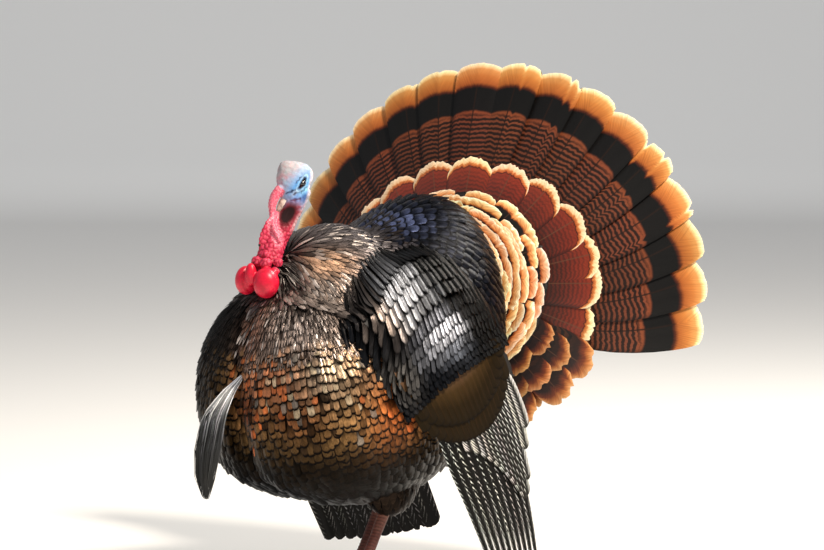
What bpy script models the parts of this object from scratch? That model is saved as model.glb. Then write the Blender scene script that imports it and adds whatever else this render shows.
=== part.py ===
# Adult male wild turkey in full strut, a still life-size model. Metres, +Z up, the bird faces -Y and
# its left side is at +X. The solids are the outer form of the bird, out to the tips of its feathers.
import math

import bmesh
import bpy
import numpy as np
from mathutils import Matrix, Vector

# Driving dimensions.
GAP = 0.00035          # clearance between neighbouring solids
PARTING = 0.0002       # half the width of the thin cuts that part the trunk and the wings

TRUNK_STATIONS = (     # y, bottom z, top z, half width
    (-0.262, 0.325, 0.425, 0.070),
    (-0.240, 0.236, 0.508, 0.150),
    (-0.190, 0.190, 0.545, 0.192),
    (-0.090, 0.160, 0.585, 0.205),
    (0.030, 0.154, 0.645, 0.198),
    (0.130, 0.182, 0.694, 0.182),
    (0.205, 0.242, 0.694, 0.164),
    (0.268, 0.330, 0.645, 0.124),
    (0.300, 0.420, 0.560, 0.060),
)
TRUNK_SQUARENESS = 2.35
TRUNK_TOP_TAPER = 0.24
CLEFT_DEPTH = 0.020
CLEFT_WIDTH = 0.021
SEAM_Y = -0.045        # the breast ends here
SEAM_Z = 0.430         # and behind it the back lies above the belly
BOX_REACH = 1.0        # how far the boxes that part the trunk and level the floor reach

ROLL_CENTRE = (0.0, -0.045, 0.529)      # the collar of raised hackles round the neck's base
ROLL_SIZE = (0.142, 0.130, 0.122)
NECK_ROUTE = (
    (-0.009, -0.099, 0.712), (-0.012, -0.129, 0.662), (-0.012, -0.161, 0.613), (-0.005, -0.180, 0.566),
    (0.0, -0.172, 0.520),
)
NECK_RADII = (0.0185, 0.0205, 0.0220, 0.0265, 0.0310)
NECK_SLANT = math.radians(-33.0)        # of the loose skin down its front

HEAD_CENTRE = (-0.010, -0.113, 0.7205)
HEAD_YAW = math.radians(25.0)           # towards the bird's right
HEAD_PITCH = math.radians(50.0)         # bill down
HEAD_SIZE = (0.0385, 0.0205, 0.0330)    # half length, half width, half height
SKULL_NARROWING = 0.38                  # how much narrower it is at the bill
SKULL_LIFT = 0.004
SKULL_DROOP = 0.0075
CHIN_DEPTH = 0.88
BILL_LENGTH = 0.036
BILL_BASE = 0.0105
BILL_LEVEL = -0.0062
BILL_DROOP = 0.0034
BILL_ROOT = 0.72                        # where the bill begins, as a share of the skull's half length
SNOOD_ROUTE = (        # forward, left and up from the head's centre: over the bill and down beside the throat
    (0.020, 0.006, 0.0165), (0.030, 0.006, 0.0165), (0.042, 0.006, 0.0140), (0.054, 0.007, 0.0090),
    (0.0640, 0.009, 0.0015), (0.0747, 0.0167, -0.0051), (0.0872, 0.0306, -0.0141), (0.0995, 0.0400, -0.0355),
)
SNOOD_RADII = (0.0062, 0.0084, 0.0090, 0.0080, 0.0066, 0.0054, 0.0046, 0.0028)
EYE_RADIUS = 0.0070
EYE_PLACE = (-0.0071, 0.0140, -0.0057)     # forward, left, up from the head's centre

DEWLAP_CENTRE = (-0.014, -0.161, 0.640)
DEWLAP_SIZE = (0.0060, 0.020, 0.042)
CARUNCLES = (          # name, x, y, z, half width, half height
    ("caruncle_left", 0.0235, -0.2030, 0.5560, 0.0225, 0.0265),
    ("caruncle_right", -0.0235, -0.2100, 0.5580, 0.0190, 0.0250),
    ("caruncle_middle", -0.0010, -0.2170, 0.5700, 0.0100, 0.0200),
)

TAIL_PIVOT = (0.0, 0.232, 0.530)
TAIL_YAW = math.radians(22.0)           # the fan turned towards the bird's left
TAIL_LEAN = math.radians(-5.0)          # the top of the fan a little forward
TAIL_CONE = math.radians(22.0)          # the feathers swept back from a flat disc
TAIL_FEATHERS = 18
TAIL_FEATHER_LENGTH = 0.432
TAIL_SPREAD = math.radians(204.0)
TAIL_ROOT_WIDTH = 0.018
TAIL_CURL = 0.28                        # the outer feathers leave the root lower and curve up
TAIL_THICKNESS = 0.0030
FEATHER_START = 0.13                    # where a ring's vanes begin, as a share of its feathers' length
SCALLOP_DEPTH = 0.045
COVERT_FEATHERS = 13
COVERT_LENGTH = 0.245
COVERT_SPREAD = math.radians(236.0)
COVERT_LIFT = 0.022
COVERT_ROOT_LIFT = 0.35                 # the share of the lift that the ring has at its root
COVERT_ROOT_WIDTH = 0.040
RUMP_SIZE = (0.190, 0.046, 0.178)      # the cushion of small coverts in front of the fan
RUMP_FORWARD = 0.016
RUMP_REAR = 0.45                        # how much flatter the cushion is behind
RUMP_SWEEP = 0.80                       # how far it follows the fan's cone
TRUNK_BEHIND_FAN = 0.030                # how far the trunk reaches behind the fan's root
UNDERTAIL_FEATHERS = 9
UNDERTAIL_LENGTH = 0.285
UNDERTAIL_SPREAD = math.radians(128.0)
UNDERTAIL_THICKNESS = 0.012
UNDERTAIL_CONE = TAIL_CONE * 0.7

WING_LEAD = ((-0.135, 0.498), (0.008, 0.300), (0.142, 0.0))     # y, z of a curve's three control points
WING_TRAIL = ((0.062, 0.606), (0.262, 0.420), (0.252, 0.0))
WING_OUT = 0.2240
WING_TUCK = (0.40, 0.20, 0.085)         # above this height, over this rise, the wing draws in by this
WING_CLOSE = (0.05, 0.27, 0.030)        # and so behind this y
WING_FRONT = (0.06, 0.11, 0.022)        # and before this one
WING_FLARE = (0.26, 0.26, 0.020)        # below this height it stands out
WING_EDGE = 0.25                        # the share of its depth that a wing keeps at its edges
WING_ROOT = 0.62                        # how far down the wing its thick shoulder reaches
WING_TIPS = 8
WING_SHOULDER_DEPTH = 0.070
WING_TIP_DEPTH = 0.0045
WING_PARTS = (0.47, 0.70)               # where along the wing its coverts and its secondaries end
WING_PARTING = 0.0012
WING_ARCH = 0.036
WING_TIP_NOTCH = 0.014
RIGHT_WING_TRAIL = ((0.062, 0.606), (0.285, 0.420), (0.380, 0.0))   # the right wing is spread wider
RIGHT_WING_RAISE = 0.045                # and its tips hang clear of the floor

HIP = (0.072, 0.030, 0.212)
THIGH_SIZE = (0.044, 0.058, 0.070)
HOCK = (0.070, 0.030, 0.166)
ANKLE = (0.070, -0.042, 0.026)
RIGHT_LEG_SHIFT = 0.112                 # how far the right leg stands behind the left
SHANK_RADII = (0.0125, 0.0098, 0.0090, 0.0105)
TOES = (               # name, angle from straight ahead, length
    ("inner", -27.0, 0.066),
    ("middle", 2.0, 0.086),
    ("outer", 30.0, 0.068),
    ("back", 176.0, 0.034),
)
TOE_RADIUS = 0.0078
TOE_TAPER = (1.08, 1.0, 0.92, 0.62)
TOE_RISE = ((0.04, 0.0145), (0.34, 0.0070), (0.68, 0.0062), (1.0, 0.0040))     # share of length, height
PAD_CENTRE = (-0.002, 0.0125)           # the sole's middle, behind the ankle and above the floor
PAD_SIZE = (0.0150, 0.0165, 0.0138)
CLAW_LENGTH = 0.017
CLAW_RISE = ((0.0, 0.0070), (0.35, 0.0072), (0.75, 0.0052), (1.1, 0.0020))
CLAW_RADII = (0.0036, 0.0034, 0.0024, 0.0009)
CLAW_INSET = 0.004
SPUR_LENGTH = 0.026
SPUR_PLACE = 0.62                       # down the shank
SPUR_HEADING = (-0.35, 0.86, 0.25)
SPUR_RISE = ((0.15, 0.0), (0.5, 0.0), (0.8, 0.001), (1.1, 0.0035))
SPUR_RADII = (0.0058, 0.0046, 0.0028, 0.0008)

BEARD_ROUTE = (
    (0.0, -0.236, 0.398), (-0.008, -0.262, 0.370), (-0.024, -0.279, 0.330), (-0.030, -0.288, 0.275),
    (-0.032, -0.293, 0.225), (-0.032, -0.292, 0.186),
)
BEARD_WIDTHS = (0.006, 0.018, 0.031, 0.033, 0.027, 0.008)
BEARD_FLATNESS = 0.36


def clear_scene():
    for item in list(bpy.data.objects):
        bpy.data.objects.remove(item, do_unlink=True)


def make_collections():
    bird = bpy.data.collections.new("wild_turkey")
    cutters = bpy.data.collections.new("cutters")
    for collection in (bird, cutters):
        bpy.context.scene.collection.children.link(collection)
    return bird, cutters


def make_material(name, red, green, blue, roughness, metallic=0.0):
    material = bpy.data.materials.new(name)
    material.use_nodes = True
    surface = material.node_tree.nodes["Principled BSDF"]
    surface.inputs["Base Color"].default_value = (red, green, blue, 1.0)
    surface.inputs["Roughness"].default_value = roughness
    surface.inputs["Metallic"].default_value = metallic
    return material


def make_materials():
    return {
        "bronze": make_material("body_feathers", 0.130, 0.060, 0.026, 0.45, 0.3),
        "black": make_material("black_feathers", 0.012, 0.014, 0.022, 0.40, 0.2),
        "silver": make_material("silver_feathers", 0.230, 0.190, 0.160, 0.45, 0.3),
        "rust": make_material("tail_feathers", 0.270, 0.075, 0.026, 0.55),
        "buff": make_material("buff_feathers", 0.720, 0.350, 0.140, 0.60),
        "barred": make_material("barred_wing_feathers", 0.120, 0.110, 0.110, 0.55),
        "red": make_material("red_skin", 0.620, 0.012, 0.020, 0.40),
        "blue": make_material("pale_blue_skin", 0.480, 0.620, 0.800, 0.50),
        "horn": make_material("horn", 0.300, 0.210, 0.150, 0.40),
        "eye": make_material("eye", 0.012, 0.007, 0.004, 0.05),
        "leg": make_material("leg_scales", 0.360, 0.090, 0.080, 0.50),
        "beard": make_material("beard_bristles", 0.040, 0.042, 0.050, 0.60),
    }


def place_mesh(name, mesh, collection, material=None):
    item = bpy.data.objects.new(name, mesh)
    collection.objects.link(item)
    if material:
        mesh.materials.clear()
        mesh.materials.append(material)
    mesh.shade_smooth()
    mesh.set_sharp_from_angle(angle=math.radians(40.0))
    return item


def make_cutter(name, mesh):
    item = bpy.data.objects.new(name, mesh)
    CUTTERS.objects.link(item)
    item.hide_render = True
    item.display_type = "WIRE"
    return item


def finish_faces(bm):
    """Triangles only, so that a shape and its cutter bend along the same edges, facing outwards."""
    bmesh.ops.triangulate(bm, faces=bm.faces)
    bmesh.ops.recalc_face_normals(bm, faces=bm.faces)


def shaped_ball(name, segments, rings, place):
    """A ball whose poles lie fore and aft, with each of its points moved by the function place."""
    bm = bmesh.new()
    bmesh.ops.create_uvsphere(bm, u_segments=segments, v_segments=rings, radius=1.0)
    bmesh.ops.rotate(bm, verts=bm.verts, cent=(0, 0, 0), matrix=Matrix.Rotation(math.pi / 2, 3, "X"))
    for vertex in bm.verts:
        vertex.co = place(vertex.co.copy())
    finish_faces(bm)
    mesh = bpy.data.meshes.new(name)
    bm.to_mesh(mesh)
    bm.free()
    return mesh


def ellipsoid(name, centre, size, turn=None, segments=16, rings=10):
    turn = turn or Matrix.Identity(3)
    middle = Vector(centre)
    scale = Vector(size)
    return shaped_ball(name, segments, rings, lambda p: middle + turn @ (p * scale))


def route_tube(name, route, radii, flatness=1.0, resolution=1):
    """A tapered tube with closed ends along a route. Flatness narrows it fore and aft."""
    curve = bpy.data.curves.new(name, "CURVE")
    curve.dimensions = "3D"
    curve.bevel_depth = 1.0
    curve.bevel_resolution = resolution
    curve.use_fill_caps = True
    spline = curve.splines.new("POLY")
    spline.points.add(len(route) - 1)
    start = Vector(route[0])
    for point, place, radius in zip(spline.points, route, radii):
        offset = Vector(place) - start
        point.co = (offset.x, offset.y / flatness, offset.z, 1.0)
        point.radius = radius
    holder = bpy.data.objects.new(name, curve)
    bpy.context.scene.collection.objects.link(holder)
    holder.scale = (1.0, flatness, 1.0)
    holder.location = start
    mesh = evaluated_mesh(holder)
    bpy.data.objects.remove(holder, do_unlink=True)
    bpy.data.curves.remove(curve)
    return mesh


def evaluated_mesh(item):
    """The object's mesh with its modifiers and its placing worked in, and its doubled points joined."""
    bpy.context.view_layer.update()
    graph = bpy.context.evaluated_depsgraph_get()
    mesh = bpy.data.meshes.new_from_object(item.evaluated_get(graph))
    mesh.transform(item.matrix_world)
    bm = bmesh.new()
    bm.from_mesh(mesh)
    bmesh.ops.remove_doubles(bm, verts=bm.verts, dist=0.00002)
    finish_faces(bm)
    bm.to_mesh(mesh)
    bm.free()
    return mesh


def grown(mesh, name, margin=GAP):
    """A cutter: a copy of a closed mesh pushed out along its normals by the clearance."""
    bm = bmesh.new()
    bm.from_mesh(mesh)
    bm.normal_update()
    moves = [vertex.normal * margin * 1.15 for vertex in bm.verts]
    for vertex, move in zip(bm.verts, moves):
        vertex.co += move
    copy = bpy.data.meshes.new(name)
    bm.to_mesh(copy)
    bm.free()
    return make_cutter(name, copy)


def boolean(mesh, cutter, operation):
    holder = bpy.data.objects.new("holder", mesh)
    bpy.context.scene.collection.objects.link(holder)
    cut = holder.modifiers.new("cut", "BOOLEAN")
    cut.object = cutter
    cut.operation = operation
    cut.solver = "EXACT"
    result = evaluated_mesh(holder)
    bpy.data.objects.remove(holder, do_unlink=True)
    return result


def carve(mesh, cutters):
    for cutter in cutters:
        mesh = boolean(mesh, cutter, "DIFFERENCE")
    return mesh


def join(meshes):
    whole = meshes[0]
    for number, mesh in enumerate(meshes[1:]):
        whole = boolean(whole, make_cutter(f"join_{number}", mesh), "UNION")
    return whole


def box_cutter(name, low, high):
    bm = bmesh.new()
    bmesh.ops.create_cube(bm, size=1.0)
    size = Vector(high) - Vector(low)
    middle = (Vector(high) + Vector(low)) / 2
    bmesh.ops.scale(bm, vec=size, verts=bm.verts)
    bmesh.ops.translate(bm, vec=middle, verts=bm.verts)
    mesh = bpy.data.meshes.new(name)
    bm.to_mesh(mesh)
    bm.free()
    return make_cutter(name, mesh)


def solid_sheet(name, columns, rows, place, thickness, depth=None, inward=-1.0):
    """A grid bent by the function place, of (across, along) from 0 to 1, and given its thickness.

    depth, also of (across, along), is the share of the thickness that the sheet has there. inward is -1
    where the wall grows behind the grid's faces, and 1 where it grows before them."""
    bm = bmesh.new()
    bmesh.ops.create_grid(bm, x_segments=columns, y_segments=rows, size=0.5)
    grid = [(vertex.co.x + 0.5, vertex.co.y + 0.5) for vertex in bm.verts]
    for vertex, (across, along) in zip(bm.verts, grid):
        vertex.co = place(across, along)
    mesh = bpy.data.meshes.new(name)
    bm.to_mesh(mesh)
    bm.free()
    holder = bpy.data.objects.new(name, mesh)
    bpy.context.scene.collection.objects.link(holder)
    wall = holder.modifiers.new("wall", "SOLIDIFY")
    wall.thickness = thickness
    wall.offset = inward
    if depth:
        group = holder.vertex_groups.new(name="depth")
        for index, (across, along) in enumerate(grid):
            group.add([index], depth(across, along), "REPLACE")
        wall.vertex_group = "depth"
    result = evaluated_mesh(holder)
    bpy.data.objects.remove(holder, do_unlink=True)
    return result


# The trunk.

def station(y):
    rows = np.array(TRUNK_STATIONS)
    return [float(np.interp(y, rows[:, 0], rows[:, column])) for column in (1, 2, 3)]


def smooth_station(y):
    """The stations eased over a short reach, so that the trunk has no creases at them."""
    reach = (-0.024, -0.012, 0.0, 0.012, 0.024)
    front, back = TRUNK_STATIONS[0][0], TRUNK_STATIONS[-1][0]
    samples = [station(min(max(y + step, front), back)) for step in reach]
    return [sum(values) / len(values) for values in zip(*samples)]


def trunk_point(direction):
    front, back = TRUNK_STATIONS[0][0], TRUNK_STATIONS[-1][0]
    share = math.asin(max(-1.0, min(1.0, direction.y))) / math.pi + 0.5
    swing = math.cos(math.pi * share)
    y = front + (back - front) * (0.5 - 0.5 * swing * (0.6 + 0.4 * abs(swing)))
    bottom, top, half_width = smooth_station(y)
    ring = math.hypot(direction.x, direction.z)
    closing = min(1.0, (ring / 0.42) ** 0.62)
    angle = math.atan2(direction.z, direction.x)
    power = 2.0 / TRUNK_SQUARENESS
    side = math.copysign(abs(math.cos(angle)) ** power, math.cos(angle))
    rise = math.copysign(abs(math.sin(angle)) ** power, math.sin(angle))
    taper = 1.0 - TRUNK_TOP_TAPER * max(0.0, rise) ** 1.5
    x = half_width * side * closing * taper
    z = (top + bottom) / 2 + (top - bottom) / 2 * rise * closing
    front_share = max(0.0, min(1.0, (-0.02 - y) / 0.12))
    groove = math.exp(-((x / CLEFT_WIDTH) ** 2)) * front_share
    if y < -0.2:
        y += groove * CLEFT_DEPTH
    else:
        z += groove * CLEFT_DEPTH * (-0.6 if rise > 0 else 0.8)
    return Vector((x, y, z))


def build_trunk():
    """The trunk, ending flat just behind the fan's root, parted into breast, back and belly."""
    whole = shaped_ball("trunk", 26, 16, trunk_point)
    side, up, forward = tail_axes()
    behind_fan = box_cutter("behind_fan", (-BOX_REACH, TRUNK_BEHIND_FAN, -BOX_REACH), (BOX_REACH,) * 3)
    fan_turn = Matrix((side, -forward, up)).transposed().to_4x4()
    behind_fan.data.transform(Matrix.Translation(Vector(TAIL_PIVOT)) @ fan_turn)
    whole = carve(whole, [behind_fan])
    rear, low, high = SEAM_Y + PARTING, SEAM_Z - PARTING, SEAM_Z + PARTING
    breast = box_cutter("breast_box", (-BOX_REACH,) * 3, (BOX_REACH, SEAM_Y - PARTING, BOX_REACH))
    back = box_cutter("back_box", (-BOX_REACH, rear, high), (BOX_REACH,) * 3)
    belly = box_cutter("belly_box", (-BOX_REACH, rear, -BOX_REACH), (BOX_REACH, BOX_REACH, low))
    parts = (("breast", breast, "bronze"), ("back", back, "black"), ("belly", belly, "bronze"))
    for name, cutter, material in parts:
        place_mesh(name, boolean(whole.copy(), cutter, "INTERSECT"), BIRD, MATERIALS[material])
    return whole


# The neck and head.

def head_turn():
    """Columns are the head's own forward, left and up, as axes of the bird."""
    yaw = Matrix.Rotation(-HEAD_YAW, 3, "Z")
    forward = yaw @ Vector((0.0, -math.cos(HEAD_PITCH), -math.sin(HEAD_PITCH)))
    left = yaw @ Vector((1.0, 0.0, 0.0))
    up = left.cross(forward) * -1.0
    if up.z < 0:
        up = -up
    return forward, left, up


def head_point(forward, left, up):
    axes = head_turn()
    return Vector(HEAD_CENTRE) + axes[0] * forward + axes[1] * left + axes[2] * up


def skull_point(direction):
    """Direction's -Y is the head's forward. The skull narrows to the bill and is flatter below."""
    length, width, height = HEAD_SIZE
    forward, left, up = -direction.y, direction.x, direction.z
    narrowing = 1.0 - SKULL_NARROWING * max(0.0, forward) ** 1.6
    lift = SKULL_LIFT * (1.0 - forward * forward) - SKULL_DROOP * max(0.0, forward) ** 2
    chin = CHIN_DEPTH if up < 0 else 1.0
    return head_point(forward * length, left * width * narrowing, up * height * narrowing * chin + lift)


def bill_point(direction):
    """The shut bill: it tapers to a slightly drooping tip, and is shallower below than above."""
    along = 0.5 - 0.5 * direction.y
    size = BILL_BASE * max(0.0, 1.0 - along ** 1.8) ** 0.7
    ring = math.hypot(direction.x, direction.z)
    angle = math.atan2(direction.z, direction.x)
    shut = min(1.0, ring / 0.5)
    side = math.cos(angle) * size * 0.80 * shut
    rise = math.sin(angle) * size * shut * (1.0 if direction.z > 0 else 0.72)
    droop = -BILL_DROOP * along ** 2.4
    return head_point(HEAD_SIZE[0] * BILL_ROOT + along * BILL_LENGTH, side, BILL_LEVEL + rise + droop)


def head_box(name, low, high):
    """A box cutter whose sides follow the head's own forward, left and up."""
    box = box_cutter(name, low, high)
    forward, left, up = head_turn()
    turn = Matrix((forward, left, up)).transposed().to_4x4()
    box.data.transform(Matrix.Translation(Vector(HEAD_CENTRE)) @ turn)
    if turn.determinant() < 0:
        box.data.flip_normals()
    return box


def build_head(trunk_cutter):
    skull = shaped_ball("head", 14, 9, skull_point)
    skull_cutter = grown(skull, "head_clear")
    eyes = []
    for name, side in (("eye_left", 1.0), ("eye_right", -1.0)):
        forward, left, up = EYE_PLACE
        centre = head_point(forward, left * side, up)
        ball = ellipsoid(name, centre, (EYE_RADIUS,) * 3, segments=10, rings=7)
        place_mesh(name, ball, BIRD, MATERIALS["eye"])
        eyes.append(grown(ball, name + "_clear"))
    bill = shaped_ball("bill", 12, 8, bill_point)
    bills = [grown(bill, "bill_clear")]
    gape = BILL_LEVEL - BILL_DROOP * 0.4
    for name, low, high in (("bill_upper", gape + PARTING, 0.1), ("bill_lower", -0.1, gape - PARTING)):
        half = head_box(name + "_box", (-0.2, -0.2, low), (0.2, 0.2, high))
        place_mesh(name, boolean(bill.copy(), half, "INTERSECT"), BIRD, MATERIALS["horn"])
    place_mesh("head", carve(skull, eyes + bills), BIRD, MATERIALS["blue"])

    neck = route_tube("neck", NECK_ROUTE, NECK_RADII)
    neck_cutter = grown(neck, "neck_clear")
    balls = []
    for name, x, y, z, half_width, half_height in CARUNCLES:
        ball = ellipsoid(name, (x, y, z), (half_width, half_width, half_height), segments=10, rings=7)
        cutters = list(balls) + [trunk_cutter]
        balls.append(grown(ball, name + "_clear"))
        place_mesh(name, carve(ball, cutters), BIRD, MATERIALS["red"])
    blockers = [skull_cutter, trunk_cutter] + bills + balls
    place_mesh("neck", carve(neck, blockers), BIRD, MATERIALS["red"])

    slant = Matrix.Rotation(NECK_SLANT, 3, "X")
    dewlap = ellipsoid("dewlap", DEWLAP_CENTRE, DEWLAP_SIZE, slant, 10, 6)
    dewlap_cutter = grown(dewlap, "dewlap_clear")
    place_mesh("dewlap", carve(dewlap, [skull_cutter, neck_cutter] + bills + balls), BIRD, MATERIALS["red"])
    return skull_cutter, neck_cutter, [skull_cutter, neck_cutter, dewlap_cutter] + bills + balls


def build_snood(blockers):
    route = [head_point(*place) for place in SNOOD_ROUTE]
    snood = route_tube("snood", route, SNOOD_RADII)
    place_mesh("snood", carve(snood, blockers), BIRD, MATERIALS["red"])


def build_roll(trunk_cutter, blockers):
    roll = ellipsoid("neck_hackles", ROLL_CENTRE, ROLL_SIZE, segments=16, rings=10)
    roll_cutter = grown(roll, "roll_clear")
    place_mesh("neck_hackles", carve(roll, [trunk_cutter] + blockers), BIRD, MATERIALS["silver"])
    return roll_cutter


# The tail.

def tail_axes():
    """The fan's own sideways, up and forward."""
    turn = Matrix.Rotation(TAIL_YAW, 3, "Z") @ Matrix.Rotation(TAIL_LEAN, 3, "X")
    return turn @ Vector((1, 0, 0)), turn @ Vector((0, 0, 1)), turn @ Vector((0, -1, 0))


def fan_point(angle, radius, back, root_width):
    """A point of a fan: angle from straight up towards the bird's left, out from the tail's root."""
    side, up, forward = tail_axes()
    across = math.sin(angle) * radius + root_width * math.sin(angle)
    return Vector(TAIL_PIVOT) + side * across + up * (math.cos(angle) * radius) - forward * back


def scallop(across, count, depth):
    """How much shorter a fan is here: nothing at a feather's middle, most between two feathers."""
    share = abs(2.0 * ((across * count) % 1.0) - 1.0)
    if across >= 1.0:
        share = 1.0
    return depth * share ** 2.4


def fan_sheet(name, feathers, length, spread, columns, camber, cone=TAIL_CONE, lift=0.0, curl=0.0, middle=0.0,
              root_width=TAIL_ROOT_WIDTH, thickness=TAIL_THICKNESS):
    """A ring of feathers as one bent sheet with a scalloped edge, columns of faces to each feather."""
    def place(across, along):
        angle = middle + (across - 0.5) * spread * (1.0 + curl * (1.0 - along))
        tip = length * (1.0 - scallop(across, feathers, SCALLOP_DEPTH))
        reach = tip * (FEATHER_START + (1.0 - FEATHER_START) * along)
        ridge = camber * (1.0 - 2.0 * scallop(across, feathers, 1.0)) * along
        raised = lift * (COVERT_ROOT_LIFT + (1.0 - COVERT_ROOT_LIFT) * along)
        back = math.sin(cone) * reach - raised - ridge
        return fan_point(angle, math.cos(cone) * reach, back, root_width)

    return solid_sheet(name, feathers * columns, 2, place, thickness)


def build_rump(trunk_cutter):
    side, up, forward = tail_axes()
    turn = Matrix((side, -forward, up)).transposed()
    centre = Vector(TAIL_PIVOT) + forward * RUMP_FORWARD
    scale = Vector(RUMP_SIZE)

    def rump_point(direction):
        local = direction * scale
        local.y *= RUMP_REAR if local.y > 0 else 1.0
        sweep = math.tan(TAIL_CONE) * math.hypot(local.x, local.z) * RUMP_SWEEP
        return centre + turn @ local - forward * sweep

    rump = shaped_ball("rump_coverts", 16, 7, rump_point)
    rump_cutter = grown(rump, "rump_clear")
    place_mesh("rump_coverts", carve(rump, [trunk_cutter]), BIRD, MATERIALS["buff"])
    return rump_cutter


def build_tail(cutters):
    fan = fan_sheet("tail_fan", TAIL_FEATHERS, TAIL_FEATHER_LENGTH, TAIL_SPREAD, 3, 0.0016, curl=TAIL_CURL)
    place_mesh("tail_fan", carve(fan, cutters), BIRD, MATERIALS["rust"])

    coverts = fan_sheet("tail_coverts", COVERT_FEATHERS, COVERT_LENGTH, COVERT_SPREAD, 2, 0.0012,
                        lift=COVERT_LIFT, root_width=COVERT_ROOT_WIDTH)
    place_mesh("tail_coverts", carve(coverts, cutters), BIRD, MATERIALS["buff"])

    under = fan_sheet("undertail_coverts", UNDERTAIL_FEATHERS, UNDERTAIL_LENGTH, UNDERTAIL_SPREAD, 2, 0.0012,
                      cone=UNDERTAIL_CONE, middle=math.pi, thickness=UNDERTAIL_THICKNESS)
    under_cutters = cutters + [grown(fan, "fan_clear")]
    place_mesh("undertail_coverts", carve(under, under_cutters), BIRD, MATERIALS["black"])


# The wings.

def bend(controls, share):
    """A point, as (y, z), of a curve with three control points."""
    a, b, c = ((1 - share) ** 2, 2 * share * (1 - share), share ** 2)
    return tuple(a * p + b * q + c * r for p, q, r in zip(*controls))


def wing_out(y, z):
    """How far from the middle plane the wing's outer surface stands."""
    drawn_in = 0.0
    for place, (start, reach, depth) in ((z, WING_TUCK), (y, WING_CLOSE), (-y, WING_FRONT)):
        drawn_in += max(0.0, (place - start) / reach) ** 2 * depth
    level, reach, flare = WING_FLARE
    return WING_OUT - drawn_in + max(0.0, (level - z) / reach) * flare


def wing_point(across, along, side):
    """Across goes from the leading to the trailing edge, along from the shoulder to the tips."""
    trail = WING_TRAIL if side > 0 else RIGHT_WING_TRAIL
    lead_y, lead_z = bend(WING_LEAD, along)
    trail_y, trail_z = bend(trail, along)
    y = lead_y + (trail_y - lead_y) * across
    z = lead_z + (trail_z - lead_z) * across
    z += math.sin(math.pi * across) * WING_ARCH * (1.0 - along) ** 1.5
    if side < 0:
        z += RIGHT_WING_RAISE * along ** 3
    if along > 0.999:
        share = (across * WING_TIPS) % 1.0
        z += 0.0 if 0.2 < share < 0.8 else WING_TIP_NOTCH
    return Vector((side * wing_out(y, z), y, z))


def wing_depth(across, along):
    """The wing is as deep as a body's side at the shoulder and thin towards its edges and tips."""
    edge = max(WING_EDGE, math.sin(math.pi * min(1.0, max(0.0, across))) ** 0.5)
    root = (1.0 - min(1.0, along / WING_ROOT)) ** 1.1
    return max(WING_TIP_DEPTH, WING_SHOULDER_DEPTH * root * edge) / WING_SHOULDER_DEPTH


def build_wing(name, side, cutters):
    first, second = WING_PARTS
    spans = (
        ("coverts", 0.0, first, 8, 5, "silver"),
        ("secondaries", first + WING_PARTING, second, 8, 3, "black"),
        ("primaries", second + WING_PARTING, 1.0, WING_TIPS * 3, 2, "barred"),
    )
    cleared = []
    for part, start, end, columns, rows, material in spans:
        def place(across, along, start=start, end=end):
            return wing_point(across, start + (end - start) * along, side)

        def depth(across, along, start=start, end=end):
            return wing_depth(across, start + (end - start) * along)

        sheet = solid_sheet(f"{name}_{part}", columns, rows, place, WING_SHOULDER_DEPTH, depth, side)
        cleared.append(grown(sheet, f"{name}_{part}_clear"))
        place_mesh(f"{name}_{part}", carve(sheet, cutters), BIRD, MATERIALS[material])
    return cleared


# The legs.

def leg_place(point, side):
    x, y, z = point
    return Vector((side * x, y + (RIGHT_LEG_SHIFT if side < 0 else 0.0), z))


def toe_route(ankle, heading, length, side):
    """A toe arches a little from the ankle and rests on its flat sole."""
    angle = math.radians(heading) * side
    ahead = Vector((math.sin(angle), -math.cos(angle), 0.0))
    return [Vector((ankle.x, ankle.y, 0.0)) + ahead * length * share + Vector((0, 0, height))
            for share, height in TOE_RISE]


def build_foot(name, side, shank_cutter, floor):
    ankle = leg_place(ANKLE, side)
    behind, height = PAD_CENTRE
    pieces = [ellipsoid(name + "_pad", (ankle.x, ankle.y + behind, height), PAD_SIZE, segments=10, rings=6)]
    for toe, heading, length in TOES:
        route = toe_route(ankle, heading, length, side)
        pieces.append(route_tube(f"{name}_{toe}", route, [TOE_RADIUS * share for share in TOE_TAPER]))
    foot = carve(join(pieces), [floor])
    foot_cutter = grown(foot, name + "_clear")
    place_mesh(name, carve(foot, [shank_cutter]), BIRD, MATERIALS["leg"])
    for toe, heading, length in TOES:
        angle = math.radians(heading) * side
        ahead = Vector((math.sin(angle), -math.cos(angle), 0.0))
        start = Vector((ankle.x, ankle.y, 0.0)) + ahead * (length - CLAW_INSET)
        route = [start + ahead * CLAW_LENGTH * share + Vector((0, 0, height)) for share, height in CLAW_RISE]
        claw = route_tube(f"{name}_{toe}_claw", route, CLAW_RADII)
        place_mesh(f"{name}_{toe}_claw", carve(claw, [foot_cutter, floor]), BIRD, MATERIALS["horn"])


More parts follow.
